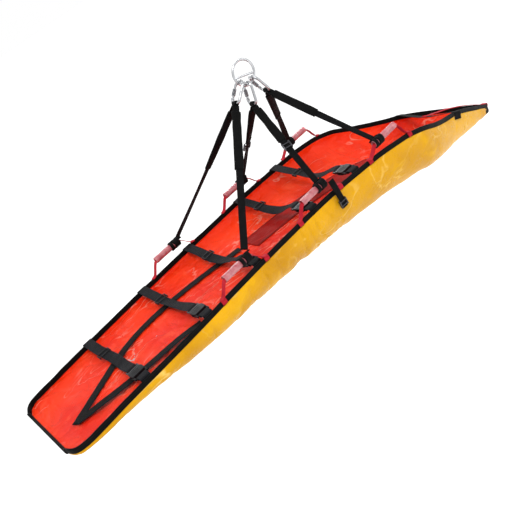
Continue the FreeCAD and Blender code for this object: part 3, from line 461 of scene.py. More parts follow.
sleeve_metal = metal("sleeve_metal", (0.36, 0.37, 0.39), 0.30, knurl=1.6)
dark_metal = metal("dark_metal", (0.09, 0.09, 0.10), 0.33)
thread_black = webbing("thread_black", (0.006, 0.006, 0.006), (0.02, 0.02, 0.02), 0.9)


def clear_tube():
    """Clear flexible tube over red webbing: pink, glossy, faintly cloudy, with extrusion lines."""
    made, tree, surface = shader("clear_tube", (0.80, 0.40, 0.41), 0.12, Transmission_Weight=0.45, IOR=1.35,
                                 Coat_Weight=0.6, Coat_Roughness=0.08)
    where = add(tree, "ShaderNodeTexCoord").outputs["Object"]
    cloud = noise_on(tree, where, 45.0, 3.0, 0.4)
    tree.links.new(mixed(tree, spread(tree, cloud, 0.35, 0.7), (0.70, 0.28, 0.30), (0.50, 0.09, 0.12)),
                   surface.inputs["Base Color"])
    lines = noise_on(tree, add(tree, "ShaderNodeMapping", {"Vector": where},
                               Scale=(4.0, 500.0, 500.0)).outputs[0], 1.0, 2.0)
    bumped(tree, surface, lines, 0.15, 0.0006)
    return made


tube_clear = clear_tube()

# ---------------------------------------------------------------- the two skins

LONG = np.concatenate([np.linspace(-FOOT_REACH, -1060, 26)[:-1], np.linspace(-1060, 1150, 330)])


def skin_rings(wide_cut, depth_more, power, depth_index, across, fold, wall):
    """Rings of a trough skin: its outer face, then its inner one a wall inside along the surface's normal."""
    x = LONG[:, None]
    t = np.linspace(0, 1, across)[None, :]
    wide, rim, shell, bed = form(x)
    depth = (shell, bed)[depth_index] + depth_more
    y, z = section(t, wide - wide_cut, rim - TAPE_TALL, depth, power)
    points = np.stack(np.broadcast_arrays(x, y, z), -1)
    along = np.gradient(points, axis=0)
    round_ = np.gradient(points, axis=1)
    normal = unit(np.cross(along, round_))
    hold = np.clip(np.minimum(t, 1 - t) * 14, 0, 1) * np.clip((1150 - x) / 60, 0, 1)
    hold = hold * np.clip((x + FOOT_REACH) / 25, 0, 1)
    points = points + normal * (fold(points, t) * hold)[..., None]
    inner = points - normal * wall
    return np.concatenate([points, inner[:, ::-1]], 1)


def shell_folds(p, t):
    """Broad facets towards the head, sharp crumples at mid length and the foot, soft waves all over."""
    x = p[..., 0]
    facets = waves(p * (1, 1.6, 1.6), 260.0, 3) * 5.0 * np.clip((x - 50) / 300, 0, 1)
    crumple_depth = 7.5 * bump_at(x, -160, 230) + 5.0 * bump_at(x, -620, 260)
    crumple = creases(p, 120.0, 11) * crumple_depth
    return facets + crumple + waves(p, 90.0, 5) * 2.0 + waves(p, 38.0, 6) * 0.5 - 3.0


def liner_folds(p, t):
    """Creases that run across the floor, soft waves, and pull lines towards the rims."""
    x = p[..., 0]
    cross = creases(p * (1.0, 0.45, 0.6), 90.0, 21) * (3.6 + 3.0 * bump_at(x, -800, 240))
    pulls = creases(p * (1.8, 0.5, 0.5), 70.0, 25) * 2.5 * np.clip(1 - np.minimum(t, 1 - t) * 5, 0, 1)
    folds = -(cross + pulls) + waves(p, 150.0, 23) * 1.6 + waves(p, 45.0, 24) * 0.5
    under_spine = np.clip((78 - np.abs(p[..., 1])) / 18, 0, 1) * np.clip((x + 235) / 25, 0, 1)
    return folds * (1 - 0.85 * under_spine)


outer = loft("hull_skin", skin_rings(0.0, 0.0, SHELL_POWER, 0, 90, shell_folds, 2.0), "stretcher",
             yellow_skin, ["outer_shell"])
liner = loft("liner_skin", skin_rings(SHELL_WALL + LINER_WALL, 0.0, BED_POWER, 1, 90, liner_folds, -1.5),
             "stretcher", red_skin, ["inner_liner"])


# ---------------------------------------------------------------- edge tape

TAPE_STOPS = np.concatenate([np.linspace(-FOOT_REACH, -1040, 16)[:-1], np.linspace(-1040, 1152, 190)])
TAPE_RING = flat_profile(TAPE_WIDE, TAPE_TALL + 2.0, 12, 3.0)


def rim_line(x, side, out=0.0, up=0.0):
    """Points along a rim, out from the tape's middle and up from the rim's top."""
    wide, rim, _, _ = form(x)
    return np.stack([x, side * (wide - TAPE_IN + out), rim + up], -1)


for word, side in SIDES:
    line = rim_line(TAPE_STOPS, side, 0.0, -TAPE_TALL / 2)
    wander = waves(line, 60.0, 31) * 0.8
    line = line + np.stack([0 * wander, wander, 0.7 * waves(line, 75.0, 32)], -1)
    loft("edge_tape_" + word, swept(line, (0, 1, 0), TAPE_RING), "stretcher", tape_black,
         ["rim_binding_" + word])
    for row, up in (("upper", -3.0), ("lower", -TAPE_TALL + 2.5)):
        stitch = rim_line(TAPE_STOPS[::2], side, TAPE_WIDE / 2 + 0.1, up)
        band("tape_seam_%s_%s" % (row, word), stitch, (0, 0, 1), 0.9, 0.7, "stretcher", thread_black)

foot_half = form(-FOOT_REACH)[0] - TAPE_IN
foot_y = np.linspace(-foot_half, foot_half, 60)
foot_dip = np.clip((foot_half - np.abs(foot_y)) / 30.0, 0, 1)
foot_line = np.stack([-FOOT_REACH - 3.0 + 0 * foot_y, foot_y, -9.0 - 12.0 * foot_dip], -1)
loft("foot_tape", swept(foot_line, (1, 0, 0.15), flat_profile(11.0, TAPE_TALL, 12, 3.0)), "stretcher",
     tape_black, ["foot_binding"])

# ---------------------------------------------------------------- webbing laid on the liner


def laid(name, route, width, lift, finish, replaces, ripple=1.2, seed=41):
    """Webbing on the bed: the route's (x, y) at the liner's height, with small ripples along it."""
    flat = even(softened([(x, y, 0.0) for x, y in route], 3), 9.0)
    line = flat.copy()
    line[:, 2] = bed_height(flat[:, 0], flat[:, 1]) + lift + ripple * np.abs(waves(flat, 55.0, seed))
    ahead = unit(np.gradient(flat, axis=0))
    side = np.stack([-ahead[:, 1], ahead[:, 0], 0 * ahead[:, 0]], -1)
    edge = [bed_height(*(flat + sign * side * width / 2)[:, :2].T) for sign in (-1, 1)]
    side[:, 2] = (edge[1] - edge[0]) / width
    return band(name, line, side, width, WEB, "stretcher", finish, replaces)


LAYER = WEB + 2 * LAY
FOOT_LEG_FAR = [(-1080, -92), (-948, -30), (-765, 62), (-563, 72), (-250, 20)]
FOOT_LEG_NEAR = [(-1070, -96), (-860, -160), (-690, -176), (-600, -205)]
laid("foot_strap_long", FOOT_LEG_FAR, 34.0, LAYER + WEB, web_black, ["foot_strap"])
laid("foot_strap_short", FOOT_LEG_NEAR, 34.0, 2 * LAYER + WEB, web_black, ["foot_strap"],
     seed=43)

spine_x = np.linspace(-215.0, 900.0, 180)
spine_half = np.minimum(55.0, form(spine_x)[0] * 0.42)
spine_across = np.linspace(-1, 1, 24)
spine_y = spine_half[:, None] * spine_across[None, :]
spine_top = np.stack([np.broadcast_to(spine_x[:, None], spine_y.shape), spine_y,
                      bed_height(spine_x[:, None], spine_y) + 3.6], -1)
spine_top[..., 2] += 1.3 * waves(spine_top, 60.0, 51) * (1 - spine_across ** 8)
spine_low = spine_top - (0, 0, 2.0)
loft("spine_panel", np.concatenate([spine_top, spine_low[:, ::-1]], 1), "stretcher", spine_cloth,
     ["spine_webbing"])
for tag, side in (("a", -1), ("b", 1)):
    seam_y = side * (spine_half - 5.0)
    seam = np.stack([spine_x, seam_y, bed_height(spine_x, seam_y) + 5.0], -1)
    band("spine_seam_" + tag, seam, (0, 1, 0), 1.4, 0.8, "stretcher", thread_black)

# ---------------------------------------------------------------- cross straps

SOCKET_LONG, SOCKET_WIDE, SOCKET_TALL, WINDOW, BAR = 32.0, 52.0, 14.0, 14.0, 5.2
SOCKET_BACK = SOCKET_LONG + WINDOW
TURN = BAR / 2 + LAY + WEB / 2


def strap_frame(x):
    """Outer and inner half width and highest rim under a strap, and the y of its socket's mouth."""
    wide, rim, _, _ = form(np.array([x - STRAP_WIDTH / 2, x, x + STRAP_WIDTH / 2]))
    return wide.max(), wide.min(), rim.max(), -(wide.min() - 36.0 - SOCKET_BACK)


def strap_points(x):
    """The cross strap's (y, z) turns, as in the CAD part."""
    wide, _, rim, mouth = strap_frame(x)
    low = max(rim - 30.0, float(bed_height(x, 0.0)) + 4 * LAYER)
    out = wide - TAPE_IN + TAPE_WIDE / 2 + LAY + WEB / 2
    over = rim + LAY + WEB / 2
    bar = mouth + 12.0 + WINDOW - BAR / 2
    return [(out + 1, rim - 70.0), (out, over - 6), (out - 1, over + 1.5), (out - 9.0, over + 1.0),
            (out - 18.0, over - 1.0), (110.0, rim - 0.62 * (rim - low)), (30.0, low), (-45.0, low + 4.0),
            (bar + 26.0, rim + TURN - 4.0), (bar + 8.0, rim + TURN), (bar - 2.0, rim + TURN),
            (bar - TURN, rim), (bar - 2.0, rim - TURN), (bar + 10.0, rim - TURN)]


for number, x in enumerate(STRAP_PLACES, start=1):
    line = even(softened([(x, y, z) for y, z in strap_points(x)], 3), 4.0)
    inside = np.clip((150 - np.abs(line[:, 1])) / 90, 0, 1)
    line[:, 0] += 5.0 * inside * np.sin(line[:, 1] / 70.0 + number)
    line[:, 2] += 1.8 * inside * waves(line, 80.0, 60 + number)
    still = 0 * line[:, 1]
    twist = 0.22 * inside * np.sin(line[:, 1] / 60.0 + 2 * number)
    tip = np.stack([0.97 + still, still, twist], -1)
    web = band("strap_web_%d" % number, line, tip, STRAP_WIDTH, 2.0, None, web_grey,
               ["cross_strap_%d" % number])
    bar_y = strap_frame(x)[3] + 12.0 + WINDOW - BAR / 2
    start, end = ((np.array([x, y, float(form(x)[1])]) - SEAT) / 1000 for y in (60.0, bar_y + 26.0))
    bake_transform(web)

# ---------------------------------------------------------------- buckles, sliders and ladder locks


def block(name, centre, axes, sizes, body, finish, replaces=(), taper=1.0, power=7.0, rows=9):
    """Rounded block: superellipse sections carried along axes[0], drawn in at both ends as a superellipse is.

    sizes are its length, width and height; taper scales the far end's section.
    """
    long, side, up = (unit(np.asarray(a, float)) for a in axes)
    s = np.linspace(-1, 1, rows)
    s = np.sign(s) * (1 - (1 - np.abs(s)) ** 2.2)
    draw = np.maximum(1 - np.abs(s) ** 9, 0.0) ** (1 / 5)
    draw = np.maximum(draw, 0.72) * (1 + (taper - 1) * (s + 1) / 2)
    ring = flat_profile(sizes[1], sizes[2], 12, power)
    line = np.asarray(centre, float) + long * (s * sizes[0] / 2)[:, None]
    rings = (line[:, None] + side * ring[None, :, :1] * draw[:, None, None]
             + up * ring[None, :, 1:] * draw[:, None, None])
    return loft(name, rings, body, finish, replaces)


X, Y, Z = np.eye(3)


def socket_half(number, x, mouth, rim):
    """Buckle socket: an open moulded shell with side windows, a ridged cover and a webbing bar."""
    tag, body, made = str(number), "stretcher", plastic_black
    half_w, half_t, wall = SOCKET_WIDE / 2, SOCKET_TALL / 2, 3.0
    node = ["buckle_sockets"]
    for side, word in ((1, "lid"), (-1, "floor")):
        block("socket_%s_%s" % (word, tag), (x, mouth - SOCKET_LONG / 2, rim + side * (half_t - wall / 2)),
              (Y, X, Z), (SOCKET_LONG, SOCKET_WIDE, wall), body, made, node)
    block("socket_back_" + tag, (x, mouth - SOCKET_LONG + 3.0, rim), (Y, X, Z),
          (6.0, SOCKET_WIDE - 1, SOCKET_TALL - 1), body, made, node)
    for side, word in ((1, "a"), (-1, "b")):
        block("socket_cheek_%s_%s" % (word, tag), (x + side * (half_w - 2.2), mouth - 5.2, rim), (Y, X, Z),
              (10.0, 4.2, SOCKET_TALL - 1), body, made, node)
        block("socket_ear_%s_%s" % (word, tag), (x + side * (half_w - 2.5), mouth - SOCKET_BACK + 8.0, rim),
              (Y, X, Z), (19.0, 5.0, 7.0), body, made, node)
    for row in range(3):
        block("socket_rib_%d_%s" % (row, tag), (x, mouth - 9.0 - 7.0 * row, rim + half_t - 0.2), (X, Y, Z),
              (24.0, 2.2, 1.4), body, made, node)
    block("socket_bar_" + tag, (x, mouth - SOCKET_BACK + BAR / 2, rim), (X, Y, Z),
          (SOCKET_WIDE, BAR, BAR), body, made, node, power=2.6)


def plug_half(number, x, mouth, rim):
    """Buckle plug: a glossy shouldered base, two springy arms and a guide in the socket, a webbing bar."""
    tag, body, made = str(number), "plug_%d" % number, plastic_face
    node = ["buckle_plug_%d" % number]
    block("plug_base_" + tag, (x, mouth + 6.4, rim), (Y, X, Z), (11.4, SOCKET_WIDE - 4, SOCKET_TALL - 2),
          body, made, node)
    block("plug_brow_" + tag, (x, mouth + 7.0, rim + SOCKET_TALL / 2 - 1.2), (X, Y, Z), (30.0, 6.0, 1.8),
          body, made, node)
    for side, word in ((1, "a"), (-1, "b")):
        y = np.linspace(mouth + 3.0, mouth - 26.0, 16)
        reach = (mouth - y) / 26.0
        bow = SOCKET_WIDE / 2 - 7.6 + 2.6 * np.clip(reach - 0.35, 0, 1) * np.clip(1.35 - reach, 0, 1) * 2.2
        arm = np.stack([x + side * (bow - 0.4), y, 0 * y + rim], -1)
        band("plug_arm_%s_%s" % (word, tag), arm, X, 5.6, 5.4, body, made, node)
        block("plug_ear_%s_%s" % (word, tag), (x + side * (SOCKET_WIDE / 2 - 4.5), mouth + 18.0, rim),
              (Y, X, Z), (17.0, 5.0, 7.0), body, made, node)
    block("plug_guide_" + tag, (x, mouth - 11.0, rim), (Y, X, Z), (30.0, 6.4, 5.0), body, made,
          node, taper=0.6)
    block("plug_bar_" + tag, (x, mouth + 12.0 + WINDOW - BAR / 2, rim), (X, Y, Z),
          (SOCKET_WIDE - 4, BAR, BAR), body, made, node, power=2.6)


def strap_slope(x, y=100.0):
    """Height and slope angle of the cross strap's straight run at y."""
    wide, _, rim, _ = strap_frame(x)
    low = max(rim - 30.0, float(bed_height(x, 0.0)) + 4 * LAYER)
    out = wide - TAPE_IN + TAPE_WIDE / 2 + LAY + WEB / 2
    ya, za = out - TAPE_WIDE - 3 * WEB, rim + LAY + WEB / 2
    slope = (za - low) / (ya - 30.0)
    return low + slope * (y - 30.0), math.atan(slope)


def tri_glide(number, x):
    """Strap slider: two rails and three rounded bars."""
    z, slope = strap_slope(x)
    run = np.array([0, math.cos(slope), math.sin(slope)])
    up = np.array([0, -math.sin(slope), math.cos(slope)])
    centre = np.array([x, 100.0, z])
    body, node = "slider_%d" % number, ["strap_slider_%d" % number]
    for side, word in ((1, "a"), (-1, "b")):
        block("slider_rail_%s_%d" % (word, number), centre + X * side * 21.6, (run, X, up), (26.0, 4.0, 8.4),
              body, plastic_black, node)
    for word, place, lift in (("front", -11.0, 3.1), ("middle", 0.0, -3.1), ("rear", 11.0, 3.1)):
        block("slider_bar_%s_%d" % (word, number), centre + run * place + up * lift, (X, run, up),
              (42.0, 4.0, 2.8), body, plastic_black, node, power=3.0)


def ladder_lock(name, centre, run, side, thick, body, node, finish):
    """Ladder lock: a bent frame round a webbing, with a lifted thumb lip and a middle bar."""
    run, side = unit(np.asarray(run, float)), unit(np.asarray(side, float))
    side = unit(side - run * (side @ run))
    up = np.cross(run, side)
    for way, word in ((1, "a"), (-1, "b")):
        block("%s_rail_%s" % (name, word), centre + side * way * 15.2, (run, side, up), (30.0, 3.6, 8.6),
              body, finish, node)
    lift = thick / 2 + 1.6
    for word, place, height, long in (("lip", 12.8, lift + 0.2, 4.4), ("heel", -12.8, lift, 4.0),
                                      ("bar", 0.0, lift, 3.6), ("back", 7.0, -lift, 3.4),
                                       ("sill", -8.0, -lift, 3.4)):
        block("%s_%s" % (name, word), centre + run * place + up * height, (side, run, up),
              (30.0, long, 2.6), body, finish, node, power=3.0)


for number, x in enumerate(STRAP_PLACES, start=1):
    _, slim, rim, mouth = strap_frame(x)
    socket_half(number, x, mouth, rim)
    plug_half(number, x, mouth, rim)
    tri_glide(number, x)
    inside = -(slim - TAPE_IN - TAPE_WIDE / 2 - LAY - WEB / 2)
    bar_y = mouth - SOCKET_BACK + BAR / 2
    turns = [(inside + 0.5, rim - 26.0), (inside, rim - 6.0), (inside + 1.0, rim + TURN - 0.8),
             (inside + 9.0, rim + TURN), (bar_y - 1.0, rim + TURN), (bar_y + TURN, rim),
             (bar_y - 1.0, rim - TURN), (bar_y - 9.0, rim - TURN)]
    band("anchor_web_%d" % number, even(softened([(x, y, z) for y, z in turns], 3), 2.5), X, STRAP_WIDTH,
         2.0, "stretcher", web_grey, ["buckle_anchors"])

# ---------------------------------------------------------------- handles and grips

GRIP_LONG, GRIP_OUT, GRIP_BORE, HANDLE_RISE = 122.0, 12.6, 11.0, 46.0


def grip_middle(x, side):
    """Middle of a grip: over the tape's middle, a handle's rise above the rim."""
    wide, rim, _, _ = form(x)
    return np.array([x, side * (float(wide) - TAPE_IN), float(rim) + HANDLE_RISE])


def handle(number, x, word, side):
    """Red webbing from the rim through a clear tube and back, its sewn ends lapped over the edge tape."""
    centre = grip_middle(x, side)
    tag = "%s_%d" % (word, number)
    feet = [float(form(x + way * 98.0)[1]) for way in (-1, 1)]
    route = [(x - 110.0, feet[0] + 1.6), (x - 100.0, feet[0] + 2.6), (x - 92.0, feet[0] + 9.0),
             (x - 74.0, centre[2] - 14.0), (x - 63.0, centre[2] - 2.0), (x - 48.0, centre[2] + 0.6),
             (x, centre[2] - 1.4), (x + 48.0, centre[2] + 0.6), (x + 63.0, centre[2] - 2.0),
             (x + 74.0, centre[2] - 14.0), (x + 92.0, feet[1] + 9.0), (x + 100.0, feet[1] + 2.6),
             (x + 110.0, feet[1] + 1.6)]
    line = even(softened([(px, centre[1], pz) for px, pz in route], 3), 3.0)
    line[:, 1] += 1.2 * np.sin((line[:, 0] - x) / 40.0)
    band("handle_web_" + tag, line, Y, 20.0, 3.0, "stretcher", web_red,
         ["handle_webbing_" + tag])
    half = GRIP_LONG / 2
    wall = [(GRIP_BORE, -half + 1), (GRIP_BORE + 0.6, -half), (GRIP_OUT - 0.6, -half), (GRIP_OUT, -half + 1)]
    wall += [(GRIP_OUT + 0.25 * math.sin(k * 0.7), -half + 1 + k * (GRIP_LONG - 2) / 24)
             for k in range(1, 24)]
    wall += [(GRIP_OUT, half - 1), (GRIP_OUT - 0.6, half), (GRIP_BORE + 0.6, half), (GRIP_BORE, half - 1)]
    wall += [(GRIP_BORE, half - 1 - k * (GRIP_LONG - 2) / 6) for k in range(1, 6)]
    rings = turned(wall, centre, X, Y, 36)
    loft("grip_tube_" + tag, np.swapaxes(rings, 0, 1), "stretcher", tube_clear,
         ["handle_grip_" + tag], closed=True)
    for end, way in (("foot", -1), ("head", 1)):
        foot_x = x + way * 104.0
        wide, rim, _, _ = form(foot_x)
        out = side * (float(wide) - TAPE_IN + TAPE_WIDE / 2 + 1.8)
        lap = [(foot_x, side * (float(wide) - 9.0), float(rim) + 2.2),
               (foot_x, side * (float(wide) - TAPE_IN + 3.0), float(rim) + 2.4),
               (foot_x, out, float(rim) - 2.0), (foot_x, out, float(rim) - 15.0)]
        band("handle_end_%s_%s" % (end, tag), even(softened(lap, 3), 2.0), X, 20.0, 2.4, "stretcher", web_red)


for number, x in enumerate(HANDLE_PLACES, start=1):
    for word, side in SIDES:
        handle(number, x, word, side)

# ---------------------------------------------------------------- ring, carabiners and slings

RING_AT, RING_RADIUS, RING_WIRE, RING_DROP = np.array([121.0, 0.0, 476.0]), 45.0, 5.0, 10.0
RING_TILT = math.radians(15.6)
ROD, KRAB_HALF, HOOK_GAP, STRAIGHT, CORNER = 5.0, 23.0, 1.8, 44.0, 13.0
TOP_E = RING_WIRE + ROD + HOOK_GAP
NOSE_E = TOP_E - KRAB_HALF
HINGE_E = NOSE_E - STRAIGHT
BOTTOM_E = HINGE_E - CORNER
GATE = 4.4
PIVOT_E = HINGE_E + GATE + 0.96


def pitched(angle, v):
    """v turned about +Y by an angle."""
    v = np.asarray(v, float)
    x, z = v[..., 0], v[..., 2]
    c, s = math.cos(angle), math.sin(angle)
    return np.stack([c * x + s * z, v[..., 1], -s * x + c * z], -1)


circle = np.linspace(0, 2 * math.pi, 97)[:-1]
ring_path = RING_AT + pitched(RING_TILT, np.stack([RING_RADIUS * np.sin(circle), 0 * circle,
                                                   RING_RADIUS * np.cos(circle)], -1))
ring_out = pitched(RING_TILT, np.stack([np.sin(circle), 0 * circle, np.cos(circle)], -1))
round_bar = flat_profile(2 * RING_WIRE, 2 * RING_WIRE, 10, 2.0)
ring_rings = ring_path[:, None] + ring_out[:, None] * round_bar[None, :, :1] + Y * round_bar[None, :, 1:]
loft("ring_wire", ring_rings, "ring", steel, ["lifting_ring"], closed=True)
chord = math.sqrt(RING_RADIUS ** 2 - RING_DROP ** 2) - 2.0
bar_path = RING_AT + pitched(RING_TILT, np.stack([np.linspace(-chord, chord, 30), np.zeros(30),
                                                  np.full(30, -RING_DROP)], -1))
bar_flare = 1 + 0.22 * np.abs(np.linspace(-1, 1, 30)) ** 10
loft("ring_bar", swept(bar_path, Y, flat_profile(8.0, 8.0, 10, 2.0)[None] * bar_flare[:, None, None]),
     "ring", steel, ["lifting_ring"])


def knot(number, side):
    """Middle of a sling's hitch on its grip."""
    return grip_middle(HANDLE_PLACES[number - 1], side) + X * KNOT_SHIFTS[number - 1]


def krab_frame(number):
    """A carabiner's origin on the ring's wire and its pitch, so that -Z points between its two hitches."""
    turn = math.radians((number - 2) * 45.0)
    start = RING_AT + pitched(RING_TILT, (RING_RADIUS * math.sin(turn), 0, -RING_RADIUS * math.cos(turn)))
    pull = (knot(number, NEAR) + knot(number, FAR)) / 2 - start
    return start, math.atan2(-pull[0], -pull[2])


def carabiner(number):
    """Hooked rod frame, hinged gate with its pin and cheeks, nose, and a knurled lock sleeve."""
    start, pitch = krab_frame(number)

    def put(local):
        return start + pitched(pitch, local)

    hook = np.linspace(0, math.pi, 30)
    top = np.stack([0 * hook, KRAB_HALF * np.cos(hook), NOSE_E + KRAB_HALF * np.sin(hook)], -1)
    knee = np.linspace(0, math.pi / 2, 12)
    left = np.stack([0 * knee, -KRAB_HALF + CORNER * (1 - np.cos(knee)), HINGE_E - CORNER * np.sin(knee)], -1)
    right = left[::-1] * (1, -1, 1)
    path = even(np.concatenate([top, left, right]), 2.0)
    thick = 1 + 0.10 * bump_at(path[:, 2], TOP_E, 14.0)
    near_nose = np.clip(np.linspace(0, 1, len(path)) * 14, 0, 1)
    thick = thick * (0.86 + 0.14 * near_nose)
    rings = swept(put(path), pitched(pitch, X), round_bar[None] * (ROD / RING_WIRE) * thick[:, None, None])
    tag = "_%d" % number
    node = ["carabiner_frame_%d" % number]
    loft("krab_frame" + tag, rings, "stretcher", alloy, node)
    axis_x, axis_z = pitched(pitch, X), pitched(pitch, Z)
    for way, word in ((1, "a"), (-1, "b")):
        block("krab_cheek_%s%s" % (word, tag),
              put((way * 3.6, KRAB_HALF, PIVOT_E - 1.6)), (axis_x, Y, axis_z),
              (2.2, 8.0, 12.0), "stretcher", alloy, node, power=3.0)
    rivet = [(0.0, -5.3), (1.2, -5.3), (1.7, -4.7), (1.5, -4.0),
             (1.5, 4.0), (1.7, 4.7), (1.2, 5.3), (0.0, 5.3)]
    loft("krab_pin" + tag, turned(rivet, put((0, KRAB_HALF, PIVOT_E)), axis_x, Y, 16), "stretcher", steel,
         node)
    gate_body, gate_node = "gate_%d" % number, ["carabiner_gate_%d" % number]
    low, high = PIVOT_E + 3.0, NOSE_E - 0.8
    barrel = [(0.0, low), (GATE * 0.9, low + 0.6), (GATE, low + 2.0),
              (GATE, high - 3.4), (GATE * 1.12, high - 3.0),
              (GATE * 1.12, high - 0.8), (GATE * 0.9, high), (0.0, high)]
    loft("krab_gate" + tag, turned(barrel, put((0, KRAB_HALF, 0)), axis_z, Y, 28), gate_body, alloy,
         gate_node)
    block("krab_knuckle" + tag, put((0, KRAB_HALF, PIVOT_E + 0.6)), (axis_x, Y, axis_z), (4.2, 8.4, 9.4),
          gate_body, alloy, gate_node, power=2.4)
    s_high = NOSE_E - 5.0
    s_low = s_high - 24.0
    wall = [(GATE + 0.3, s_low + 0.8), (GATE + 1.0, s_low), (6.4, s_low),
            (7.0, s_low + 0.8), (7.0, s_low + 3.0), (6.5, s_low + 3.6), (6.9, s_low + 4.2),
            (6.9, s_high - 4.2), (6.5, s_high - 3.6), (7.0, s_high - 3.0),
            (7.0, s_high - 0.8), (6.4, s_high), (GATE + 1.0, s_high), (GATE + 0.3, s_high - 0.8)]
    rings = np.swapaxes(turned(wall, put((0, KRAB_HALF, 0)), axis_z, Y, 40), 0, 1)
    loft("krab_sleeve" + tag, rings, "sleeve_%d" % number, sleeve_metal,
         ["carabiner_sleeve_%d" % number], closed=True)


EYE_IN, EYE_WALL, EYE_WIDE = ROD + 1.2, 4.0, 20.0


def sling_ends(number, side):
    """Where a leg leaves its eye, and where it meets its hitch."""
    start, pitch = krab_frame(number)
    top = start + pitched(pitch, (0, side * EYE_WIDE / 4, BOTTOM_E - EYE_IN - EYE_WALL / 2))
    end = knot(number, side)
    run = unit(top - end)
    clear = GRIP_OUT + 2.5 + 12.5 * abs(run[0])
    return top, end + run * clear / math.hypot(run[1], run[2])


def bridle_leg(number, word, side):
    """One leg: a bowed webbing, its doubled upper sleeve with stitched ends, and the wraps of its hitch."""
    top, end = sling_ends(number, side)
    tag = "%s_%d" % (word, number)
    run = unit(end - top)
    across = unit(X - run * run[0])
    out = np.cross(run, across) * side
    share = np.linspace(0, 1, 90)[:, None]
    long = np.linalg.norm(end - top)
    bow = np.sin(math.pi * share) * 2.5 * (1 if out[2] < 0 else -1)
    line = top + (end - top) * share + out * bow
    turn = 0.16 * np.sin(2 * math.pi * share * 0.8 + number) + 0.05 * np.sin(9 * share)
    width_way = across * np.cos(turn) + out * np.sin(turn)
    node = ["sling_%d" % number]
    band("sling_web_" + tag, line, width_way, 25.0, 4.2, "stretcher", web_black, node)
    cover = slice(4, 42)
    puff = flat_profile(33.0, 9.0, 14, 3.0)
    sleeve_line = line[cover]
    wobble = 1 + 0.05 * waves(sleeve_line, 40.0, 70 + number)
    loft("sling_sleeve_" + tag, swept(sleeve_line, width_way[cover], puff[None] * wobble[:, None, None]),
         "stretcher", tape_black, ["sling_sleeves"])
    for place in (5, 7, 38, 40):
        ring_line = line[place] + width_way[place] * np.linspace(-16.0, 16.0, 14)[:, None] + out * 4.2
        band("sleeve_stitch_%d_%s" % (place, tag), ring_line, run, 1.4, 1.2, "stretcher", thread_black)
    centre = knot(number, side)
    for wrap, (shift, size_) in enumerate(((-15.0, 13.5), (0.0, 14.5), (15.0, 13.5))):
        lean = (0.10, -0.16, 0.08)[wrap]
        outline = flat_profile(size_, 4.4, 10, 3.5) * (1, 1)
        around = np.linspace(0, 2 * math.pi, 49)[:-1]
        out_dir = np.stack([0 * around, np.cos(around), np.sin(around)], -1)
        radius = GRIP_OUT + 3.1 + 0.5 * np.sin(3 * around + wrap)
        path = centre + X * (shift + lean * 14.0 * np.cos(around))[:, None] + out_dir * radius[:, None]
        rings = path[:, None] + X * outline[None, :, :1] + out_dir[:, None] * outline[None, :, 1:]
        loft("hitch_wrap_%d_%s" % (wrap, tag), rings, "stretcher", web_black,
             node, closed=True)
    throat = centre + unit(top - centre) * (GRIP_OUT + 6.0)
    cross = even(softened([throat - X * 20 - Z * 1.5, throat - X * 8 + Z * 1.2, throat + X * 8 + Z * 1.2,
                           throat + X * 20 - Z * 1.5], 3), 2.0)
    band("hitch_bridge_" + tag, cross, unit(np.cross(X, unit(top - centre))), 15.0, 4.0,
         "stretcher", web_black,
         node)


def sling_eye(number):
    """Webbing eye round a carabiner's foot, pinched to a sewn throat below it."""
    start, pitch = krab_frame(number)
    around = np.linspace(0, 2 * math.pi, 49)[:-1]
    radius = EYE_IN + 1.9 + 0 * around
    out_dir = pitched(pitch, np.stack([np.cos(around), 0 * around, np.sin(around)], -1))
    foot = start + pitched(pitch, (0, 0, BOTTOM_E))
    outline = flat_profile(EYE_WIDE + 2.0, 3.6, 10, 4.0)
    path = foot + out_dir * radius[:, None]
    rings = path[:, None] + Y * outline[None, :, :1] + out_dir[:, None] * outline[None, :, 1:]
    loft("sling_eye_%d" % number, rings, "stretcher", web_black, ["sling_%d" % number],
         closed=True)
    throat = [foot + pitched(pitch, (0, 0, -h)) for h in (8.0, 12.0, 17.0, 22.0)]
    grow = np.array([0.85, 1.0, 1.1, 1.0])[:, None, None]
    loft("sling_throat_%d" % number,
         swept(np.array(throat), Y, flat_profile(24.0, 12.0, 12, 3.0)[None] * grow),
         "stretcher", tape_black, ["sling_%d" % number])


for number in (1, 2, 3):
    carabiner(number)
    sling_eye(number)
    for word, side in SIDES:
        bridle_leg(number, word, side)

for word, side in SIDES:
    top, end = sling_ends(2, side)
    run = unit(top - end)
    ladder_lock("adjuster_" + word, end + (top - end) * 0.47, run, X - run * run[0], 5.0,
                "adjuster_" + word, ["sling_adjuster_" + word], dark_metal)

# ---------------------------------------------------------------- loose tail, head strap, haul loop and tabs

tail_x = HANDLE_PLACES[1] + 76.0
tail_wide, tail_rim = (float(value) for value in form(tail_x)[:2])
tail_side = tail_wide - TAPE_IN + 10.0 + LAY + WEB / 2
tail_turns = [(-tail_side, tail_rim + 42.0), (-tail_side - 1.5, tail_rim + 30.0),
              (-tail_side - 4.0, tail_rim + 8.0), (-tail_side - 6.0, tail_rim - 72.0)]
tail_line = even(softened([(tail_x, y, z) for y, z in tail_turns], 3), 2.5)
band("tail_web", tail_line, X, 25.0, 2.2, "stretcher", web_black, ["loose_tail"])
low, high = np.array([0, *tail_turns[3]]), np.array([0, *tail_turns[2]])
ladder_lock("tail_buckle", np.array([tail_x, 0, 0]) + low + (high - low) * 0.22, high - low, X, 2.4,
            "tail_lock", ["tail_lock"], dark_metal)

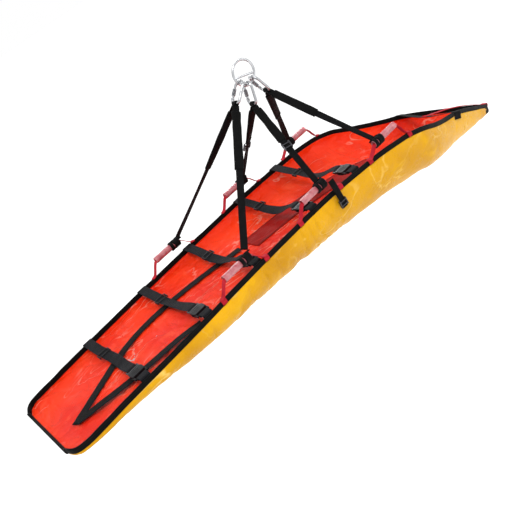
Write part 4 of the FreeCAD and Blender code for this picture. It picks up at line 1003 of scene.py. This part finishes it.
HEAD_X, HEAD_SAG, HEAD_FALL = 815.0, 14.0, 30.0
rise = float(form(HEAD_X - 19.0)[1] - form(HEAD_X + 19.0)[1])
pitch = math.atan2(rise, 38.0)
head_out = float(form(HEAD_X - 19.0 - HEAD_FALL * rise / 38.0)[0]) - TAPE_IN + TAPE_WIDE / 2 + 1.7
head_turns = [(head_out, -HEAD_FALL), (head_out, -2.0), (head_out - 3.0, 1.7), (head_out - 24.0, 1.2),
              (40.0, 1.7 - HEAD_SAG), (15.0, 1.7 - HEAD_SAG)]
head_turns += [(-y, z) for y, z in reversed(head_turns)]
head_line = even(softened([(0, y, z) for y, z in head_turns], 3), 3.0)
head_line = np.array([HEAD_X, 0, float(form(HEAD_X)[1])]) + pitched(pitch, head_line)
band("head_web", head_line, pitched(pitch, X), STRAP_WIDTH, 2.2, "stretcher", web_black,
     ["head_strap"])

head_z = float(form(HEAD_X)[1])
seam_rise = 1.7 - HEAD_SAG + WEB + LAY
seam_a, seam_b = (np.array([HEAD_X, 0, head_z]) + pitched(pitch, (way * 19.0, 0, seam_rise))
                  for way in (-1, 1))
tip_z = float(form(1150.0)[1])
haul_turns = [tuple(seam_a), tuple(seam_b), (930.0, 0, float(form(930.0)[1]) + 4.0),
              (1060.0, 0, float(form(1060.0)[1]) + 10.0), (1146.0, 0, tip_z + 3.4), (1164.0, 0, tip_z + 2.0),
              (1169.0, 0, tip_z - 6.0), (1163.0, 0, tip_z - 16.0)]
haul_line = even(softened(haul_turns, 3), 3.5)
haul_line[:, 2] += 0.8 * waves(haul_line, 60.0, 81)
band("haul_web", haul_line, Y, 25.0, 2.4, "stretcher", web_red, ["haul_loop"])

tip_stops = np.array([1118.0, 1128.0, 1140.0, 1151.0, 1157.0, 1160.0])
tip_wide, tip_rim, tip_shell, _ = form(np.minimum(tip_stops, 1150.0))
tip_size = np.array([1.0, 1.0, 1.0, 1.0, 0.9, 0.7])
tip_ring = flat_profile(2.0, 2.0, 14, 3.0)
tip_mid = tip_rim - (TAPE_TALL + tip_shell) / 2
tip_rings = np.stack([
    np.broadcast_to(tip_stops[:, None], (6, 28)),
    tip_ring[None, :, 0] * ((tip_wide + 2.5) * tip_size)[:, None],
    tip_mid[:, None] + tip_ring[None, :, 1] * (((TAPE_TALL + tip_shell) / 2 + 1.6) * tip_size)[:, None]], -1)
loft("tip_cap", tip_rings, "stretcher", tape_black, ["head_cap"])

# ---------------------------------------------------------------- stage, lights and camera

floor_z = CAD_BOX[0][2] - 0.75


def stage_floor():
    """Pale floor, far larger than the view, with a faint mottle."""
    made, tree, surface = shader("floor_paint", (0.93, 0.93, 0.93), 0.9, Emission_Color=(1, 1, 1, 1),
                                 Emission_Strength=0.14)
    where = add(tree, "ShaderNodeTexCoord").outputs["Object"]
    mottle = noise_on(tree, where, 1.5, 2.0)
    tree.links.new(mixed(tree, mottle, (0.92, 0.92, 0.92), (0.95, 0.95, 0.95)), surface.inputs["Base Color"])
    mesh = bpy.data.meshes.new("studio_floor")
    half = 40.0
    mesh.from_pydata([(-half, -half, floor_z), (half, -half, floor_z), (half, half, floor_z),
                      (-half, half, floor_z)], [], [(0, 1, 2, 3)])
    mesh.materials.append(made)
    floor = bpy.data.objects.new("studio_floor", mesh)
    bpy.context.scene.collection.objects.link(floor)


def lamp(name, place, target, power, width, height, colour=(1, 1, 1)):
    """Area light of a width and height in metres, aimed at a target."""
    light = bpy.data.lights.new(name, "AREA")
    light.shape = "RECTANGLE"
    light.energy, light.size, light.size_y, light.color = power, width, height, colour
    holder = bpy.data.objects.new(name, light)
    holder.location = place
    holder.rotation_euler = (Vector(place) - Vector(target)).to_track_quat("Z", "Y").to_euler()
    bpy.context.scene.collection.objects.link(holder)


stage_floor()
middle = (-0.1, 0.0, -0.55)
lamp("key_softbox", (-1.2, -2.2, 3.2), middle, 105.0, 1.5, 0.55)
lamp("fill_softbox", (2.8, -2.4, 0.8), middle, 18.0, 0.4, 1.4)
lamp("rim_softbox", (1.35, 2.3, 1.55), middle, 42.0, 2.0, 0.35)
world = bpy.data.worlds.new("studio")
world.use_nodes = True
world.node_tree.nodes["Background"].inputs["Color"].default_value = (1, 1, 1, 1)
world.node_tree.nodes["Background"].inputs["Strength"].default_value = 1.0
bpy.context.scene.world = world
bpy.context.scene.view_settings.view_transform = "Standard"

CAMERA_LENS, CAMERA_SENSOR = 48.777, 36.0    # mm
CAMERA_AT = (-1.28727, -2.07258, 0.54302)
CAMERA_BACK = Vector((-0.37120, -0.81333, 0.44801))
CAMERA_RIGHT = Vector((0.66449, -0.56968, -0.48366))
camera_data = bpy.data.cameras.new("camera")
camera_data.lens, camera_data.sensor_width = CAMERA_LENS, CAMERA_SENSOR
camera_data.clip_end = 100.0
camera = bpy.data.objects.new("camera", camera_data)
back = CAMERA_BACK.normalized()
right = (CAMERA_RIGHT - back * CAMERA_RIGHT.dot(back)).normalized()
turn = Matrix((right, back.cross(right), back)).transposed().to_4x4()
camera.matrix_world = Matrix.Translation(CAMERA_AT) @ turn
bpy.context.scene.collection.objects.link(camera)
bpy.context.scene.camera = camera

bpy.context.view_layer.update()
